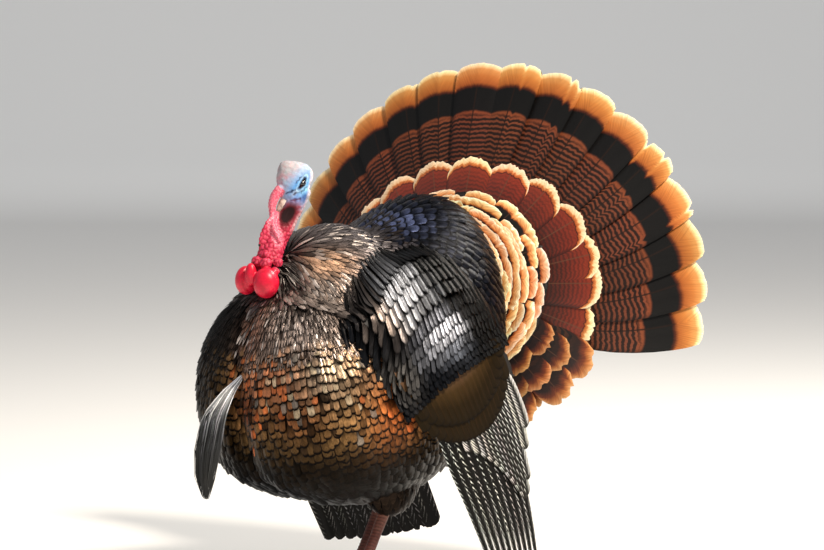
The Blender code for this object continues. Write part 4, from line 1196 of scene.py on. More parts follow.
# The tail. Its axes are the fan's own sideways, up and forward, from the root of the quills.
tail = {
    "pivot": np.array((0.0, 0.232, 0.530)), "yaw": math.radians(22.0), "lean": math.radians(-5.0),
    "cone": math.radians(22.0), "quillStart": 0.13, "stations": 14,
    "rumpSize": (0.190, 0.046, 0.178), "rumpForward": 0.016,
}
tailTurn = np.array(Matrix.Rotation(tail["yaw"], 3, "Z") @ Matrix.Rotation(tail["lean"], 3, "X"))
tailSide, tailForward, tailUp = (tailTurn * (1, -1, 1)).T


def fanSurface(ring, forwards):
    # across counts the ring's spread from 0 to 1, along its feathers' length
    def surface(across, along):
        angle = ring["middle"] + (across - 0.5) * ring["spread"] * (1.0 + ring["curl"] * (1.0 - along))
        reach = ring["length"] * (tail["quillStart"] + (1 - tail["quillStart"]) * along)
        radius = np.cos(ring["cone"]) * reach
        back = np.sin(ring["cone"]) * reach - ring["lift"] * (0.35 + 0.65 * along) - forwards
        return (tail["pivot"] + tailSide * (np.sin(angle) * (radius + ring["rootWidth"]))[..., None]
                + tailUp * (np.cos(angle) * radius)[..., None] - tailForward * back[..., None])
    return surface


def rumpSurface(across, along):
    # the cushion of coverts before the fan: across is an angle from straight up, along runs from its
    # middle to its rim
    wide, deep, high = tail["rumpSize"]
    x, z = np.sin(across) * wide * along, np.cos(across) * high * along
    sweep = math.tan(tail["cone"]) * np.hypot(x, z) * 0.80
    proud = tail["rumpForward"] + deep * np.sqrt(np.maximum(0.0, 1.0 - np.minimum(along, 1.0) ** 2)) - sweep
    return tail["pivot"] + tailSide * x[..., None] + tailUp * z[..., None] + tailForward * proud[..., None]


def makeRing(name, ring, shape, material, slotName, replaced):
    # rings of large feathers, the middle one on top, each a little under its inner neighbour
    parts = []
    for count, length, width, forwards in ring["rows"]:
        jitter = ring["jitter"]
        tips = (np.arange(count) + 0.5) / count + rng.normal(0.0, jitter, count)
        starts = np.stack([tips, np.zeros(count)], axis=1)
        ends = np.stack([tips, length * rng.uniform(1 - jitter, 1 + jitter * 0.2, count)], axis=1)
        spines, ups = spinesOn(fanSurface(ring, forwards), starts, ends, tail["stations"], tailForward)
        place = tips - 0.5
        spines = spines - ups * (ring["layer"] * np.abs(place) * count)[:, None, None]
        # the vane's side that runs with the sides' direction is the one further from the fan's middle
        lean = np.where(place > 0, 1.0, -1.0) * shape["tilt"]
        vanes = buildVanes(spines, ups, np.full(count, width), dict(shape, lean=lean))
        vanes["tint"] = plainTint(count, ring["vary"])
        parts.append(vanes)
    placeStrips(parts)
    makeCoat(name, parts, material, slotName, replaced)


fanRing = {
    "length": 0.432, "spread": math.radians(204.0), "middle": 0.0, "cone": tail["cone"], "rootWidth": 0.018,
    "curl": 0.28, "lift": 0.0, "jitter": 0.0018, "layer": 0.0011, "vary": 0.16,
    "rows": [(18, 1.0, 0.092, 0.0012)],
}
fanShape = {
    "columns": 17, "rows": 44, "crowding": 0.8, "round": 0.050, "fray": 0.004, "splits": 0.045,
    "splitDepth": 0.030,
    "bow": 0.10, "ridge": 0.0010, "thick": 0.0007, "tilt": 0.085,
    "profileAt": [0.0, 0.08, 0.30, 0.60, 0.90, 1.0], "profile": [0.20, 0.34, 0.56, 0.82, 1.0, 0.97],
}
fanLook = dict(
    plumeLook, barbCount=170.0, frayed=0.010, specular=0.22,
    margin=0.72, marginWidth=0.10, marginEnd=0.89, shaft=0.85, shaftWidth=0.020, shaftColour="#1c0f09",
    bands=[(0.0, "#2f211b"), (0.20, "#4c2a1c"), (0.70, "#663422"), (0.742, "#743a22"), (0.752, "#0b0909"),
           (0.868, "#080707"), (0.880, "#4a1e0e"), (0.896, "#9a5324"), (0.935, "#b46d34"), (0.970, "#c98d50"),
           (0.986, "#f0cf98"), (1.0, "#fbeecb")],
    bars={"count": 41.0, "slant": -0.045, "wobble": 6.0, "broken": 1.2, "cut": 0.45, "colour": "#160c08",
          "shown": [(0.0, 0.5), (0.15, 0.95), (0.715, 0.95), (0.745, 0.0)]},
)
coverRing = dict(
    fanRing, length=0.245, spread=math.radians(236.0), rootWidth=0.040, curl=0.0, lift=0.022,
    jitter=0.006, layer=0.0008, vary=0.14, rows=[(13, 1.0, 0.089, 0.0006)],
)
coverShape = {
    "columns": 27, "rows": 22, "crowding": 0.7, "round": 0.17, "fray": 0.022, "splits": 0.05,
    "splitDepth": 0.03,
    "bow": 0.10, "ridge": 0.0006, "thick": 0.0007, "tilt": 0.030,
    "profileAt": [0.0, 0.15, 0.45, 0.80, 1.0], "profile": [0.25, 0.50, 0.80, 1.0, 0.97],
}
coverLook = dict(
    plumeLook, barbCount=90.0, frayed=0.020, barbDepth=0.15, paintedSheenAmount=0.25, paintedSheen="#d4887c", rough=0.40,
    margin=0.8, marginWidth=0.09, marginEnd=0.93, specular=0.35,
    bands=[(0.0, "#140c0a"), (0.45, "#2c100a"), (0.62, "#4c190d"), (0.80, "#6d2212"), (0.902, "#7a2814"),
           (0.914, "#200903"), (0.922, "#a04a1d"), (0.944, "#c5793f"), (0.956, "#e9bf8d"), (1.0, "#f6e3c0")],
    bars={"count": 26.0, "slant": -0.03, "wobble": 4.0, "broken": 0.9, "cut": 0.5, "colour": "#2a120b",
          "shown": [(0.0, 0.9), (0.65, 0.75), (0.86, 0.35), (0.91, 0.0)]},
)
makeRing("tailFan", fanRing, fanShape, plumeMaterial("barredTailFeathers", fanLook), "tail_feathers",
         ["tail_fan"])
makeRing("majorTailCoverts", coverRing, coverShape, plumeMaterial("chestnutTailCoverts", coverLook),
         "buff_feathers", ["tail_coverts"])


rump = {
    # where each row's tips lie, how many there are and how wide
    "rows": [(0.57, 13, 0.070), (0.63, 14, 0.072), (0.69, 14, 0.075), (0.75, 15, 0.077), (0.81, 15, 0.079),
             (0.88, 16, 0.081), (0.955, 17, 0.083)],
    "length": 0.36, "stations": 8, "rootDepth": 0.008, "tipLift": 0.0050, "rowDrop": 0.0010,
}
rumpShape = {
    "columns": 15, "rows": 9, "crowding": 0.6, "round": 0.13, "fray": 0.030, "splits": 0.08,
    "splitDepth": 0.08,
    "bow": 0.06, "ridge": 0.0003, "profileAt": [0.0, 0.2, 0.55, 0.85, 1.0],
    "profile": [0.35, 0.62, 0.92, 1.0, 0.96],
}
rumpLook = dict(
    plumeLook, barbCount=30.0, barbRun=5.0, frayed=0.05, barbDepth=0.20, rough=0.50, shaft=0.35, specular=0.2,
    bands=[(0.0, "#060505"), (0.74, "#080606"), (0.800, "#160904"), (0.825, "#8a4219"), (0.86, "#c07a42"),
           (0.92, "#d69c68"), (0.965, "#ecca9e"), (1.0, "#fbe9cc")],
)


def makeRumpCoverts():
    parts = []
    share = np.linspace(0, 1, rump["stations"])
    for number, (tip, count, width) in enumerate(rump["rows"]):
        angles = (np.arange(count) + 0.5 * (number % 2)) / count * 2 * math.pi + rng.normal(0, 0.060, count)
        angles += 0.9 * number
        ends = tip + rng.normal(0, 0.016, count)
        starts = np.maximum(ends - rump["length"], 0.05)
        spines, ups = spinesOn(rumpSurface, np.stack([angles, starts], axis=1),
                               np.stack([angles, ends], axis=1),
                               rump["stations"], tailForward)
        lift = rump["tipLift"] * share ** 1.5 - rump["rootDepth"] * (1 - share) - rump["rowDrop"] * number
        lift = lift + rng.uniform(-0.0006, 0.0006, count)[:, None]
        vanes = buildVanes(spines + ups * lift[..., None], ups, width * rng.uniform(0.70, 1.08, count),
                           rumpShape)
        vanes["tint"] = plainTint(count, 0.22, 0.10)
        parts.append(vanes)
    makeCoat("rumpCoverts", parts, plumeMaterial("buffRumpCoverts", rumpLook), "buff_feathers")


makeRumpCoverts()

underRing = dict(
    fanRing, length=0.285, spread=math.radians(128.0), middle=math.pi, cone=math.radians(15.4), curl=0.0,
    jitter=0.012, layer=0.0005, vary=0.2, rows=[(9, 1.0, 0.078, 0.001), (9, 0.84, 0.072, 0.0045),
                                                (8, 0.67, 0.066, 0.008), (9, 0.92, 0.070, -0.0085),
                                                (8, 0.72, 0.064, -0.012)],
)
underShape = dict(coverShape, columns=15, rows=16, round=0.13, fray=0.035, bow=0.12)
underLook = dict(
    plumeLook, barbCount=60.0, frayed=0.03, rough=0.45, paintedSheenAmount=0.3, paintedSheen="#8d93a8", specular=0.35,
    bands=[(0.0, "#0a0807"), (0.80, "#120c09"), (0.87, "#24110a"), (0.925, "#6a2e14"), (0.96, "#b06a34"),
           (1.0, "#d9a26a")],
    bars={"count": 15.0, "slant": -0.05, "wobble": 3.0, "broken": 1.0, "cut": 0.4, "colour": "#4a2817",
          "shown": [(0.0, 0.6), (0.72, 0.6), (0.86, 0.0)]},
)
makeRing("undertailCoverts", underRing, underShape, plumeMaterial("darkUndertailCoverts", underLook),
         "black_feathers", ["undertail_coverts"])


print("laying the body feathers")
trunkHull = makeHull("trunkHull", trunkNodes, 0.006, 10)

# lines for painted shade: where the roll of the neck and the wing lie over the breast, and where it parts,
# right of its middle
shadedLine = [(0.020, -0.190, 0.545), (0.048, -0.190, 0.528), (0.092, -0.190, 0.500), (0.138, -0.178, 0.470),
              (0.164, -0.154, 0.455)]
cleftLine = [(-0.029, 0, 0.532), (-0.020, 0, 0.455), (-0.008, 0, 0.383)]


def fineEdge(points):
    # above this height the breast's feathers are narrow strokes
    return 0.440 + 0.22 * np.maximum(0.0, np.abs(points[:, 0]) - 0.05)


def farShare(points, inner, outer):
    # the side of the breast that faces away from the light, from 0 to 1
    return smoothStep(-points[:, 0], inner, outer) * smoothStep(-points[:, 1], -0.02, 0.08)


def shadeFolds(tones, points, width, strength):
    # shade under the roll, and in the parting, which counts only sideways and up
    parting = 0.97 * besideLine(points * (1, 0, 1), cleftLine, 0.0060)
    return tones * ((1 - strength * besideLine(points, shadedLine, width)) * (1 - parting))[:, None]


def byHeight(heights, values):
    return lambda p: np.interp(p[:, 2], heights, values)


def same(value):
    return lambda p: np.full(len(p), value)


def breastTones(tips):
    ground = paint(tips, "#886840", [
        ("#a87c5a", (0.05, -0.24, 0.395), (0.06, 0.08, 0.045), 0.6),
        ("#ad988b", (0.10, -0.20, 0.47), (0.10, 0.08, 0.045), 0.95),
        ("#dd8a60", (0.090, -0.25, 0.385), (0.075, 0.08, 0.045), 0.9),
        ("#9c8a76", (0.165, -0.19, 0.395), (0.050, 0.07, 0.05), 0.9),
        ("#a08266", (0.198, -0.11, 0.42), (0.035, 0.05, 0.04), 0.8),
        ("#6c4c2c", (0.120, -0.225, 0.320), (0.06, 0.05, 0.025), 0.8),
        ("#8e4220", (0.020, -0.250, 0.330), (0.035, 0.08, 0.040), 0.8),
        ("#c0662f", (0.205, -0.05, 0.335), (0.06, 0.060, 0.085), 0.95),
        ("#7d4a2c", (0.13, -0.215, 0.325), (0.05, 0.06, 0.04), 0.8),
        # painted shade: near black on the belly and on the side turned from the light
        ("#0b0a05", (0.05, -0.08, 0.11), (0.26, 0.20, 0.135), 1.0),
        ("#0e0c07", (-0.16, -0.18, 0.36), (0.105, 0.16, 0.24), 0.97),
    ])
    # painted shade: the side turned from the light darker, the bottom nearly black, and shade under the roll
    # and in the parting
    far = farShare(tips, 0.012, 0.045)
    ground *= ((1 - 0.65 * far) * (0.04 + 0.96 * smoothStep(tips[:, 2], 0.225, 0.345)))[:, None]
    ground = shadeFolds(ground, tips, 0.010, 0.90)
    # painted highlights: copper flecks on the front and by the wing and pale flecks on the side, the
    # plumage's own copper and bronze brightened where the light catches it
    copperHighlight = near(tips, (0.05, -0.25, 0.355), (0.07, 0.08, 0.05))
    copperHighlight += near(tips, (0.205, -0.05, 0.345), (0.05, 0.05, 0.07))
    pale = near(tips, (0.17, -0.19, 0.38), (0.07, 0.07, 0.06))
    lit = smoothStep(tips[:, 2], 0.24, 0.32)
    return scatter(ground, [("#cc6a35", 0.40 * copperHighlight * (1 - far)), ("#c9b495", 0.22 * pale * (1 - far)),
                            ("#6b6862", 0.05 * lit * (1 - far)), ("#1c130c", 0.12 * lit)])


def throatTones(tips):
    ground = paint(tips, "#8d7a6e", [
        ("#b8a79f", (0.115, -0.20, 0.485), (0.06, 0.06, 0.035), 0.95),
        ("#8e7a70", (0.070, -0.23, 0.455), (0.03, 0.05, 0.025), 0.7),
        ("#b0745a", (0.015, -0.235, 0.460), (0.035, 0.06, 0.05), 0.9),
        # painted shadow under the roll's lower edge, and painted shade on the side turned from the light
        ("#0c0908", (0.045, -0.190, 0.527), (0.030, 0.03, 0.012), 0.9),
        ("#0c0908", (0.100, -0.190, 0.505), (0.045, 0.03, 0.010), 0.9),
        ("#0e0c07", (-0.12, -0.20, 0.46), (0.09, 0.12, 0.12), 1.0),
    ])
    # painted shade: the side turned from the light darker, and shade under the roll and in the parting
    far = farShare(tips, 0.004, 0.035)
    ground = shadeFolds(ground, tips, 0.015, 0.95) * (1 - 0.85 * far)[:, None]
    return scatter(ground, [("#c9bbb3", 0.14 * (1 - far)), ("#2a221e", 0.09)])


def backTones(tips):
    # black, with a blue-grey painted sheen over the top of the back
    return paint(tips, "#0c0e15", [("#5c668c", (0.054, 0.069, 0.655), (0.07, 0.05, 0.020), 0.9),
                                   ("#34323a", (0.06, -0.01, 0.62), (0.10, 0.03, 0.06), 0.8)])


rollLie = {
    "centre": np.array((0.0, -0.040, 0.500)),
    "pole": np.array((0.0, -0.70, 0.714)),
    "reach": 0.14,
}
rollCentre, rollSize = np.array((0.0, -0.045, 0.529)), np.array((0.142, 0.130, 0.122))


def byRadius(values):
    # for the neck's roll: a value near its middle and one at its edge
    return lambda p: np.interp(np.linalg.norm(p - rollCentre, axis=1), [0.08, 0.16], values)


def rollReach(points):
    # how far out on the roll a point lies: 1 at its edge
    return np.linalg.norm((points - rollCentre) / rollSize, axis=1)


def rollLift(points):
    # the roll's lower edge on the lit side stands out over the breast
    low = smoothStep(-points[:, 2], -0.57, -0.53) * smoothStep(points[:, 0], -0.04, 0.02)
    return 0.0004 + 0.008 * smoothStep(rollReach(points), 0.93, 1.08) * low


def rollTones(tips):
    front = smoothStep(tips[:, 0], -0.03, 0.02) * (1 - smoothStep(tips[:, 1], 0.0, 0.05))
    return scatter(paint(tips, "#554d4b", [
        ("#94857b", (0.10, -0.15, 0.53), (0.07, 0.06, 0.05), 0.9),
        ("#a87a70", (0.045, -0.172, 0.548), (0.03, 0.03, 0.025), 0.8),
        ("#f4c09a", (0.095, -0.116, 0.585), (0.034, 0.038, 0.024), 0.95),
        ("#4a474b", (0.02, -0.02, 0.64), (0.10, 0.06, 0.05), 0.8),
        # painted shade on the side turned from the light
        ("#0e0c07", (-0.14, -0.12, 0.54), (0.08, 0.12, 0.10), 0.8),
        ("#191c24", (0.04, 0.065, 0.62), (0.15, 0.045, 0.08), 1.0),
    ]), [("#bdb0a8", 0.14 * front), ("#2a2422", 0.10)])


bodyFeathers = vaneMaterial("bronzeBodyFeathers", vaneLook)
backFeathers = vaneMaterial("blackBackFeathers", dict(vaneLook, paintedSheen="#5a6a8c", metal=0.45, rough=0.30))
rollFeathers = vaneMaterial("silverNeckHackles", dict(
    vaneLook, paintedSheen="#b9aea6", metal=0.5, rough=0.33, fade=[(0.05, 0.30), (0.50, 0.75), (0.75, 1.0),
                                                            (1.0, 1.1)]))
# Rows run from start to end on the globe, a step apart; the feathers stand a spacing apart in each row.
tracts = {
    "breastFeathers": {
        "lie": trunkLie, "start": 0.15, "end": 0.66, "wander": 0.06, "depth": 0.008, "unruly": 0.0012,
        "step": lambda level: np.interp(level, [0.16, 0.24, 0.30, 0.42, 0.60],
                                        [0.012, 0.0125, 0.0150, 0.0175, 0.020]),
        "spacing": byHeight([0.20, 0.32, 0.40, 0.47], [0.0175, 0.0130, 0.0098, 0.0080]),
        "width": byHeight([0.20, 0.32, 0.40, 0.47], [0.0240, 0.0172, 0.0132, 0.0110]),
        "length": byHeight([0.20, 0.40, 0.48], [0.060, 0.054, 0.042]), "tipLift": same(0.0006),
        "keep": lambda p: ((p[:, 1] < 0.02) | (p[:, 2] < 0.40)) & (p[:, 2] < fineEdge(p) + 0.030),
        "shape": dict(contourShape, round=0.11, profile=[0.25, 0.70, 0.96, 1.0, 0.97]),
        "tones": breastTones, "vary": 0.40, "rim": ("#050302", 0.10),
        "finish": (bodyFeathers, "body_feathers"),
    },
    "throatFeathers": {
        "lie": trunkLie, "start": 0.09, "end": 0.30, "wander": 0.04, "depth": 0.005, "unruly": 0.0005,
        "step": lambda level: 0.0115, "spacing": same(0.0037), "width": same(0.0054), "length": same(0.042),
        "tipLift": same(0.0004),
        "keep": lambda p: (p[:, 1] < -0.02) & (p[:, 2] > fineEdge(p)) & (p[:, 2] < 0.585),
        "shape": dict(contourShape, columns=5, rows=4, round=0.40),
        "tones": throatTones, "vary": 0.35, "rim": ("#0a0706", 0.06),
        "finish": (bodyFeathers, "body_feathers"),
    },
    "backFeathers": {
        "lie": trunkLie, "start": 0.06, "end": 0.60, "wander": 0.05, "depth": 0.007, "unruly": 0.0008,
        "step": lambda level: 0.013, "spacing": same(0.0140), "width": same(0.0185), "length": same(0.042),
        "tipLift": same(0.0004),
        "keep": lambda p: (p[:, 1] > -0.06) & (p[:, 2] > 0.38), "shape": dict(contourShape, round=0.22),
        "tones": backTones, "vary": 0.40, "rim": ("#020203", 0.10),
        "finish": (backFeathers, "black_feathers"),
    },
    "neckHackles": {
        "lie": rollLie, "start": 0.010, "end": 0.34, "wander": 0.05, "depth": 0.005, "unruly": 0.0006,
        "step": lambda level: np.interp(level, [0.03, 0.20], [0.0100, 0.0150]),
        "spacing": byRadius([0.0042, 0.0068]), "width": byRadius([0.0060, 0.0096]), "length": same(0.050),
        "tipLift": rollLift,
        "keep": lambda p: (rollReach(p) < 1.12) & ((p[:, 1] < 0.034) | (p[:, 2] < 0.56)),
        "shape": dict(contourShape, columns=5, rows=5, round=0.35),
        "tones": rollTones, "vary": 0.35, "rim": ("#161210", 0.05),
        "finish": (rollFeathers, "silver_feathers"),
    },
}
for tractName, tract in tracts.items():
    vanes = layTract(trunkHull, tract["lie"], tract)
    vanes["tint"] = finishTint(tract["tones"](vanes["tips"]), tract["vary"])
    vanes["rim"] = plainRim(vanes["count"], *tract["rim"])
    makeCoat(tractName, [vanes], *tract["finish"])


# Loose hackles stand out all round the back of the neck's base.
fringe = {
    # each row's height, length and fall
    "rows": ((0.585, 0.040, 0.010), (0.570, 0.044, 0.014), (0.556, 0.048, 0.018)),
    "feathers": 58, "halfTurn": 2.15, "stations": 7, "width": 0.0050, "rise": 0.024, "clear": 0.0035,
    "shape": dict(contourShape, columns=5, rows=6, round=0.45),
}


def makeNeckFringe():
    parts = []
    count, stations = fringe["feathers"], fringe["stations"]
    share = np.linspace(0, 1, stations)
    route = np.array(neckRoute)[::-1]
    for number, (height, out, fall) in enumerate(fringe["rows"]):
        angles = np.linspace(-fringe["halfTurn"], fringe["halfTurn"], count) + rng.normal(0, 0.03, count)
        middle = [np.interp(height, route[:, 2], route[:, axis]) for axis in (0, 1)]
        radius = np.interp(height, route[:, 2], route[:, 3]) - 0.001
        away = np.stack([np.sin(angles), np.cos(angles), np.zeros(count)], axis=1)
        lengths = (out * rng.uniform(0.75, 1.15, count))[:, None]
        spines = np.array((*middle, height)) + away[:, None, :] * (radius + lengths * share)[..., None]
        spines[..., 2] += fringe["rise"] * share * (1 - share) - fall * share ** 2
        ups = np.repeat((away * 0.35 + (0, 0, 1.0))[:, None, :], stations, axis=1)
        for index in range(count):
            for station in range(2, stations):
                part = float(smoothStep(share[station], 0.15, 0.65))
                place, normal, _, _ = trunkHull["tree"].find_nearest(Vector(spines[index, station]))
                resting = np.array(place + normal * (fringe["clear"] - 0.0006 * number))
                spines[index, station] = resting * part + spines[index, station] * (1 - part)
        vanes = buildVanes(spines, ups, np.full(count, fringe["width"]), fringe["shape"])
        tones = scatter(paint(vanes["tips"], "#574f4c"), [("#9a928c", 0.18), ("#1c1817", 0.2)])
        vanes["tint"] = finishTint(tones, 0.35)
        vanes["rim"] = plainRim(count, "#161210", 0.05)
        parts.append(vanes)
    makeCoat("neckFringe", parts, rollFeathers, "silver_feathers")


makeNeckFringe()


# The wings, as surfaces: across runs from the leading to the trailing edge, along from the
# shoulder to the tips.
wings = {
    # y and z of three points that bend each edge
    "lead": ((-0.135, 0.498), (0.008, 0.300), (0.142, 0.0)),
    "trail": {1: ((0.062, 0.606), (0.262, 0.420), (0.252, 0.0)),
              -1: ((0.062, 0.606), (0.285, 0.420), (0.380, 0.0))},
    "out": 0.2240, "tuck": 0.085, "close": 0.030, "turnIn": 0.022, "flare": 0.020, "arch": 0.036,
    "rightRaise": 0.040,
    "joined": 0.04, "front": 0.12,
}


def bentLine(controls, share):
    weights = ((1 - share) ** 2, 2 * share * (1 - share), share ** 2)
    return [sum(weight * point[axis] for weight, point in zip(weights, controls)) for axis in (0, 1)]


def wingSurface(side):
    def surface(across, along):
        leadY, leadZ = bentLine(wings["lead"], along)
        trailY, trailZ = bentLine(wings["trail"][side], along)
        y = leadY + (trailY - leadY) * across
        z = leadZ + (trailZ - leadZ) * across
        z = z + (np.sin(math.pi * np.clip(across, -0.1, 1.1)) * wings["arch"]
                 * np.maximum(0, 1.0 - along) ** 1.5)
        if side < 0:
            z = z + wings["rightRaise"] * np.maximum(0, along) ** 3
        tucked = np.maximum(0.0, (z - 0.40) / 0.20) ** 2 * wings["tuck"]
        closed = np.maximum(0.0, (y - 0.05) / 0.27) ** 2 * wings["close"]
        front = np.maximum(0.0, (-0.06 - y) / 0.11) ** 2 * wings["turnIn"]
        flared = np.maximum(0.0, (0.26 - z) / 0.26) * wings["flare"]
        return np.stack([side * (wings["out"] - tucked - closed - front + flared), y, z], axis=-1)
    return surface


def wingRow(side, across, tips, row):
    # a row of feathers across the wing, from their tips' places
    count, stations = len(across), row["stations"]
    ends = np.stack([across + row["drift"], tips], axis=1)
    starts = np.stack([across + row["slope"] * row["length"], tips - row["length"]], axis=1)
    spines, ups = spinesOn(wingSurface(side), starts, ends, stations, (side, 0, 0))
    share = np.linspace(0, 1, stations)
    rise = row["lift"] * share ** 2 - row["depth"] * (1 - share) ** 1.3
    spines = spines + ups * (rise + rng.normal(0, row["unruly"], count)[:, None] * share)[..., None]
    # at the shoulder the wing's feathers grow out of the trunk's
    acrosses, alongs = (starts.T[..., None] * (1 - share) + ends.T[..., None] * share)
    leading = smoothStep(acrosses, -0.08, wings["front"]) + smoothStep(alongs, 0.22, 0.34)
    shares = np.minimum(smoothStep(alongs, -0.06, wings["joined"]), leading)
    for index, station in np.argwhere(shares < 1):
        place, _, _, _ = trunkHull["tree"].find_nearest(Vector(spines[index, station]))
        part = float(shares[index, station])
        spines[index, station] = np.array(place) * (1 - part) + spines[index, station] * part
    return buildVanes(spines, ups, row["width"] * rng.uniform(0.93, 1.07, count), row["shape"])


def acrossPlaces(first, last, count, number):
    step = (last - first) / count
    return first + step * (np.arange(count) + 0.25 + 0.5 * (number % 2)) + rng.normal(0, step * 0.06, count)


shoulder = {
    # long silver feathers, rows of small ones, then a dark band above the panel: each row's tip, count,
    # length, width and lift
    "rows": [(0.022, 22, 0.090, 0.0120, 0.0), (0.068, 18, 0.110, 0.0150, 0.0015),
             (0.115, 17, 0.120, 0.0160, 0.0040),
             (0.160, 17, 0.125, 0.0160, 0.0075), (0.205, 26, 0.080, 0.0092, 0.0),
             (0.240, 27, 0.085, 0.0092, 0.0),
             (0.272, 28, 0.085, 0.0092, 0.0), (0.302, 28, 0.080, 0.0092, 0.0002),
             (0.326, 28, 0.070, 0.0100, 0.0010),
             (0.346, 27, 0.060, 0.0110, 0.0018), (0.364, 27, 0.055, 0.0120, 0.0026)],
    "shape": dict(contourShape, columns=7, rows=6, round=0.10, bow=0.22),
    # silver on a black ground, placed in shares of the wing: across it and along it
    "patches": [("#7b7c81", (0.36, 0.090), (0.21, 0.075), 1.0),
                ("#25272e", (0.40, 0.200), (0.30, 0.018), 0.8),
                ("#aeb0ba", (0.42, 0.258), (0.21, 0.034), 1.0),
                ("#8a7a70", (0.10, 0.085), (0.075, 0.060), 0.9),
                ("#6a6f7a", (0.46, 0.310), (0.12, 0.025), 0.6),
                ("#6a6662", (0.0, 0.270), (0.09, 0.060), 0.7)],
}
silverLook = dict(vaneLook, paintedSheen="#cfd3dc", paintedSheenAmount=0.10, metal=0.55, rough=0.31, rimSide=1.22,
                  fade=[(0.30, 0.15), (0.60, 0.55), (0.72, 0.95), (1.0, 1.10)])


def makeShoulder(side, name):
    parts = []
    row = {"shape": shoulder["shape"], "depth": 0.007, "drift": 0.0, "stations": 8, "unruly": 0.0006}
    for number, (tip, count, length, width, lift) in enumerate(shoulder["rows"]):
        row.update(length=length, width=width, lift=0.0022 + lift, slope=1.5 if tip < 0.32 else 0.8)
        across = acrossPlaces(-0.12, 1.00, count, number)
        tips = tip + 0.010 * np.sin(math.pi * np.clip(across, 0, 1))
        tips += rng.normal(0, 0.003 if tip < 0.31 else 0.001, count)
        vanes = wingRow(side, across, tips, row)
        spots = np.stack([across + 0.02 * rng.normal(0, 1, count), np.full(count, tip)], axis=1)
        tone = paint(spots, "#0c0e12", shoulder["patches"])
        rear = across + 0.04 * rng.normal(0, 1, count) + 0.25 * (0.2 - tip)
        tone *= (1 - 0.93 * smoothStep(rear, 0.58, 0.70))[:, None]
        vanes["tint"] = finishTint(tone, 0.42)
        vanes["rim"] = plainRim(count, "#030304", 0.055)
        parts.append(vanes)
    makeCoat(name + "Shoulder", parts, silverMaterial, "silver_feathers")


secondaryShape = dict(
    fanShape, columns=9, rows=26, round=0.05, fray=0.004, splits=0.03, splitDepth=0.02, bow=0.12,
    profileAt=[0.0, 0.1, 0.4, 0.85, 1.0], profile=[0.45, 0.62, 0.92, 1.0, 0.80],
)
secondaryLook = dict(
    plumeLook, barbCount=90.0, frayed=0.008, rough=0.45, barbDepth=0.14, specular=0.12,
    shaftColour="#1a1612", shaft=0.8, shaftWidth=0.03, margin=0.9, marginWidth=0.025,
    bands=[(0.0, "#0c0a08"), (0.9, "#0e0c09"), (1.0, "#1c1813")],
    bars={"count": 17.0, "slant": 0.30, "wobble": 1.2, "broken": 0.9, "cut": 1.08, "edged": 3.0,
          "colour": "#f6f4ef", "shown": [(0.0, 1.0), (0.96, 1.0), (0.99, 0.1)]},
)
primaryShape = dict(secondaryShape, rows=34, round=0.035, profileAt=[0.0, 0.1, 0.35, 0.70, 1.0])
primaryLook = dict(
    plumeLook, barbCount=110.0, frayed=0.006, rough=0.45, barbDepth=0.14, specular=0.10,
    shaftColour="#0d0b09", shaft=0.85, shaftWidth=0.05, margin=0.9, marginWidth=0.06,
    bands=[(0.0, "#0b0a08"), (0.94, "#0d0b09"), (1.0, "#15120e")],
    bars={"count": 27.0, "slant": 0.10, "wobble": 3.4, "broken": 2.4, "cut": 2.50, "edged": 3.0,
          "colour": "#fbfaf6", "shown": [(0.0, 1.0), (0.88, 0.95), (0.98, 0.25)]},
)
# The near wing's primaries are folded edge to edge, the far one's spread flat and broad, and painted dark as
# shade.
primaries = {
    1: {"width": 1.0, "profile": [0.40, 0.62, 0.95, 0.62, 0.22], "tone": 1.0},
    -1: {"width": 1.75, "profile": [0.40, 0.62, 0.95, 0.98, 0.70], "tone": 0.22},
}


def makeFlightFeathers(name, side, starts, ends, widths, flight):
    # large feathers laid one over the next, from the front or from the back
    stations = 16
    count = len(starts)
    spines, ups = spinesOn(wingSurface(side), starts, ends, stations, (side, 0, 0))
    inwards = np.linspace(*flight["inwards"], count)[:, None] + 0.006 * (1 - np.linspace(0, 1, stations)) ** 3
    vanes = buildVanes(spines - ups * inwards[..., None], ups, widths,
                       dict(flight["shape"], lean=flight["lean"] * side))
    vanes["tint"] = plainTint(count, flight["vary"])
    # the tone darkens the far wing's primaries as painted shade
    vanes["tint"][:, :3] *= flight["tone"]
    placeStrips([vanes])
    makeCoat(name, [vanes], flight["material"], flight["slot"], [flight["node"]])


def makePrimaries(side, name):
    # ten, from under the panel to the tips, the front one outermost
    share = (np.arange(10) + 0.5) / 10
    starts = np.stack([0.07 + 0.65 * share, np.full(10, 0.42)], axis=1)
    ends = np.stack([0.015 + 0.97 * share, 0.985 - 0.030 * np.abs(share - 0.45)], axis=1)
    own = primaries[side]
    makeFlightFeathers(name + "Primaries", side, starts, ends, (0.0225 + 0.006 * share) * own["width"], {
        "shape": dict(primaryShape, profile=own["profile"]), "inwards": (0.0012, 0.0040), "lean": 0.06,
        "vary": 0.30, "tone": own["tone"], "material": primaryMaterial, "slot": "barred_wing_feathers",
        "node": f"{nodeOf[side]}_primaries"})


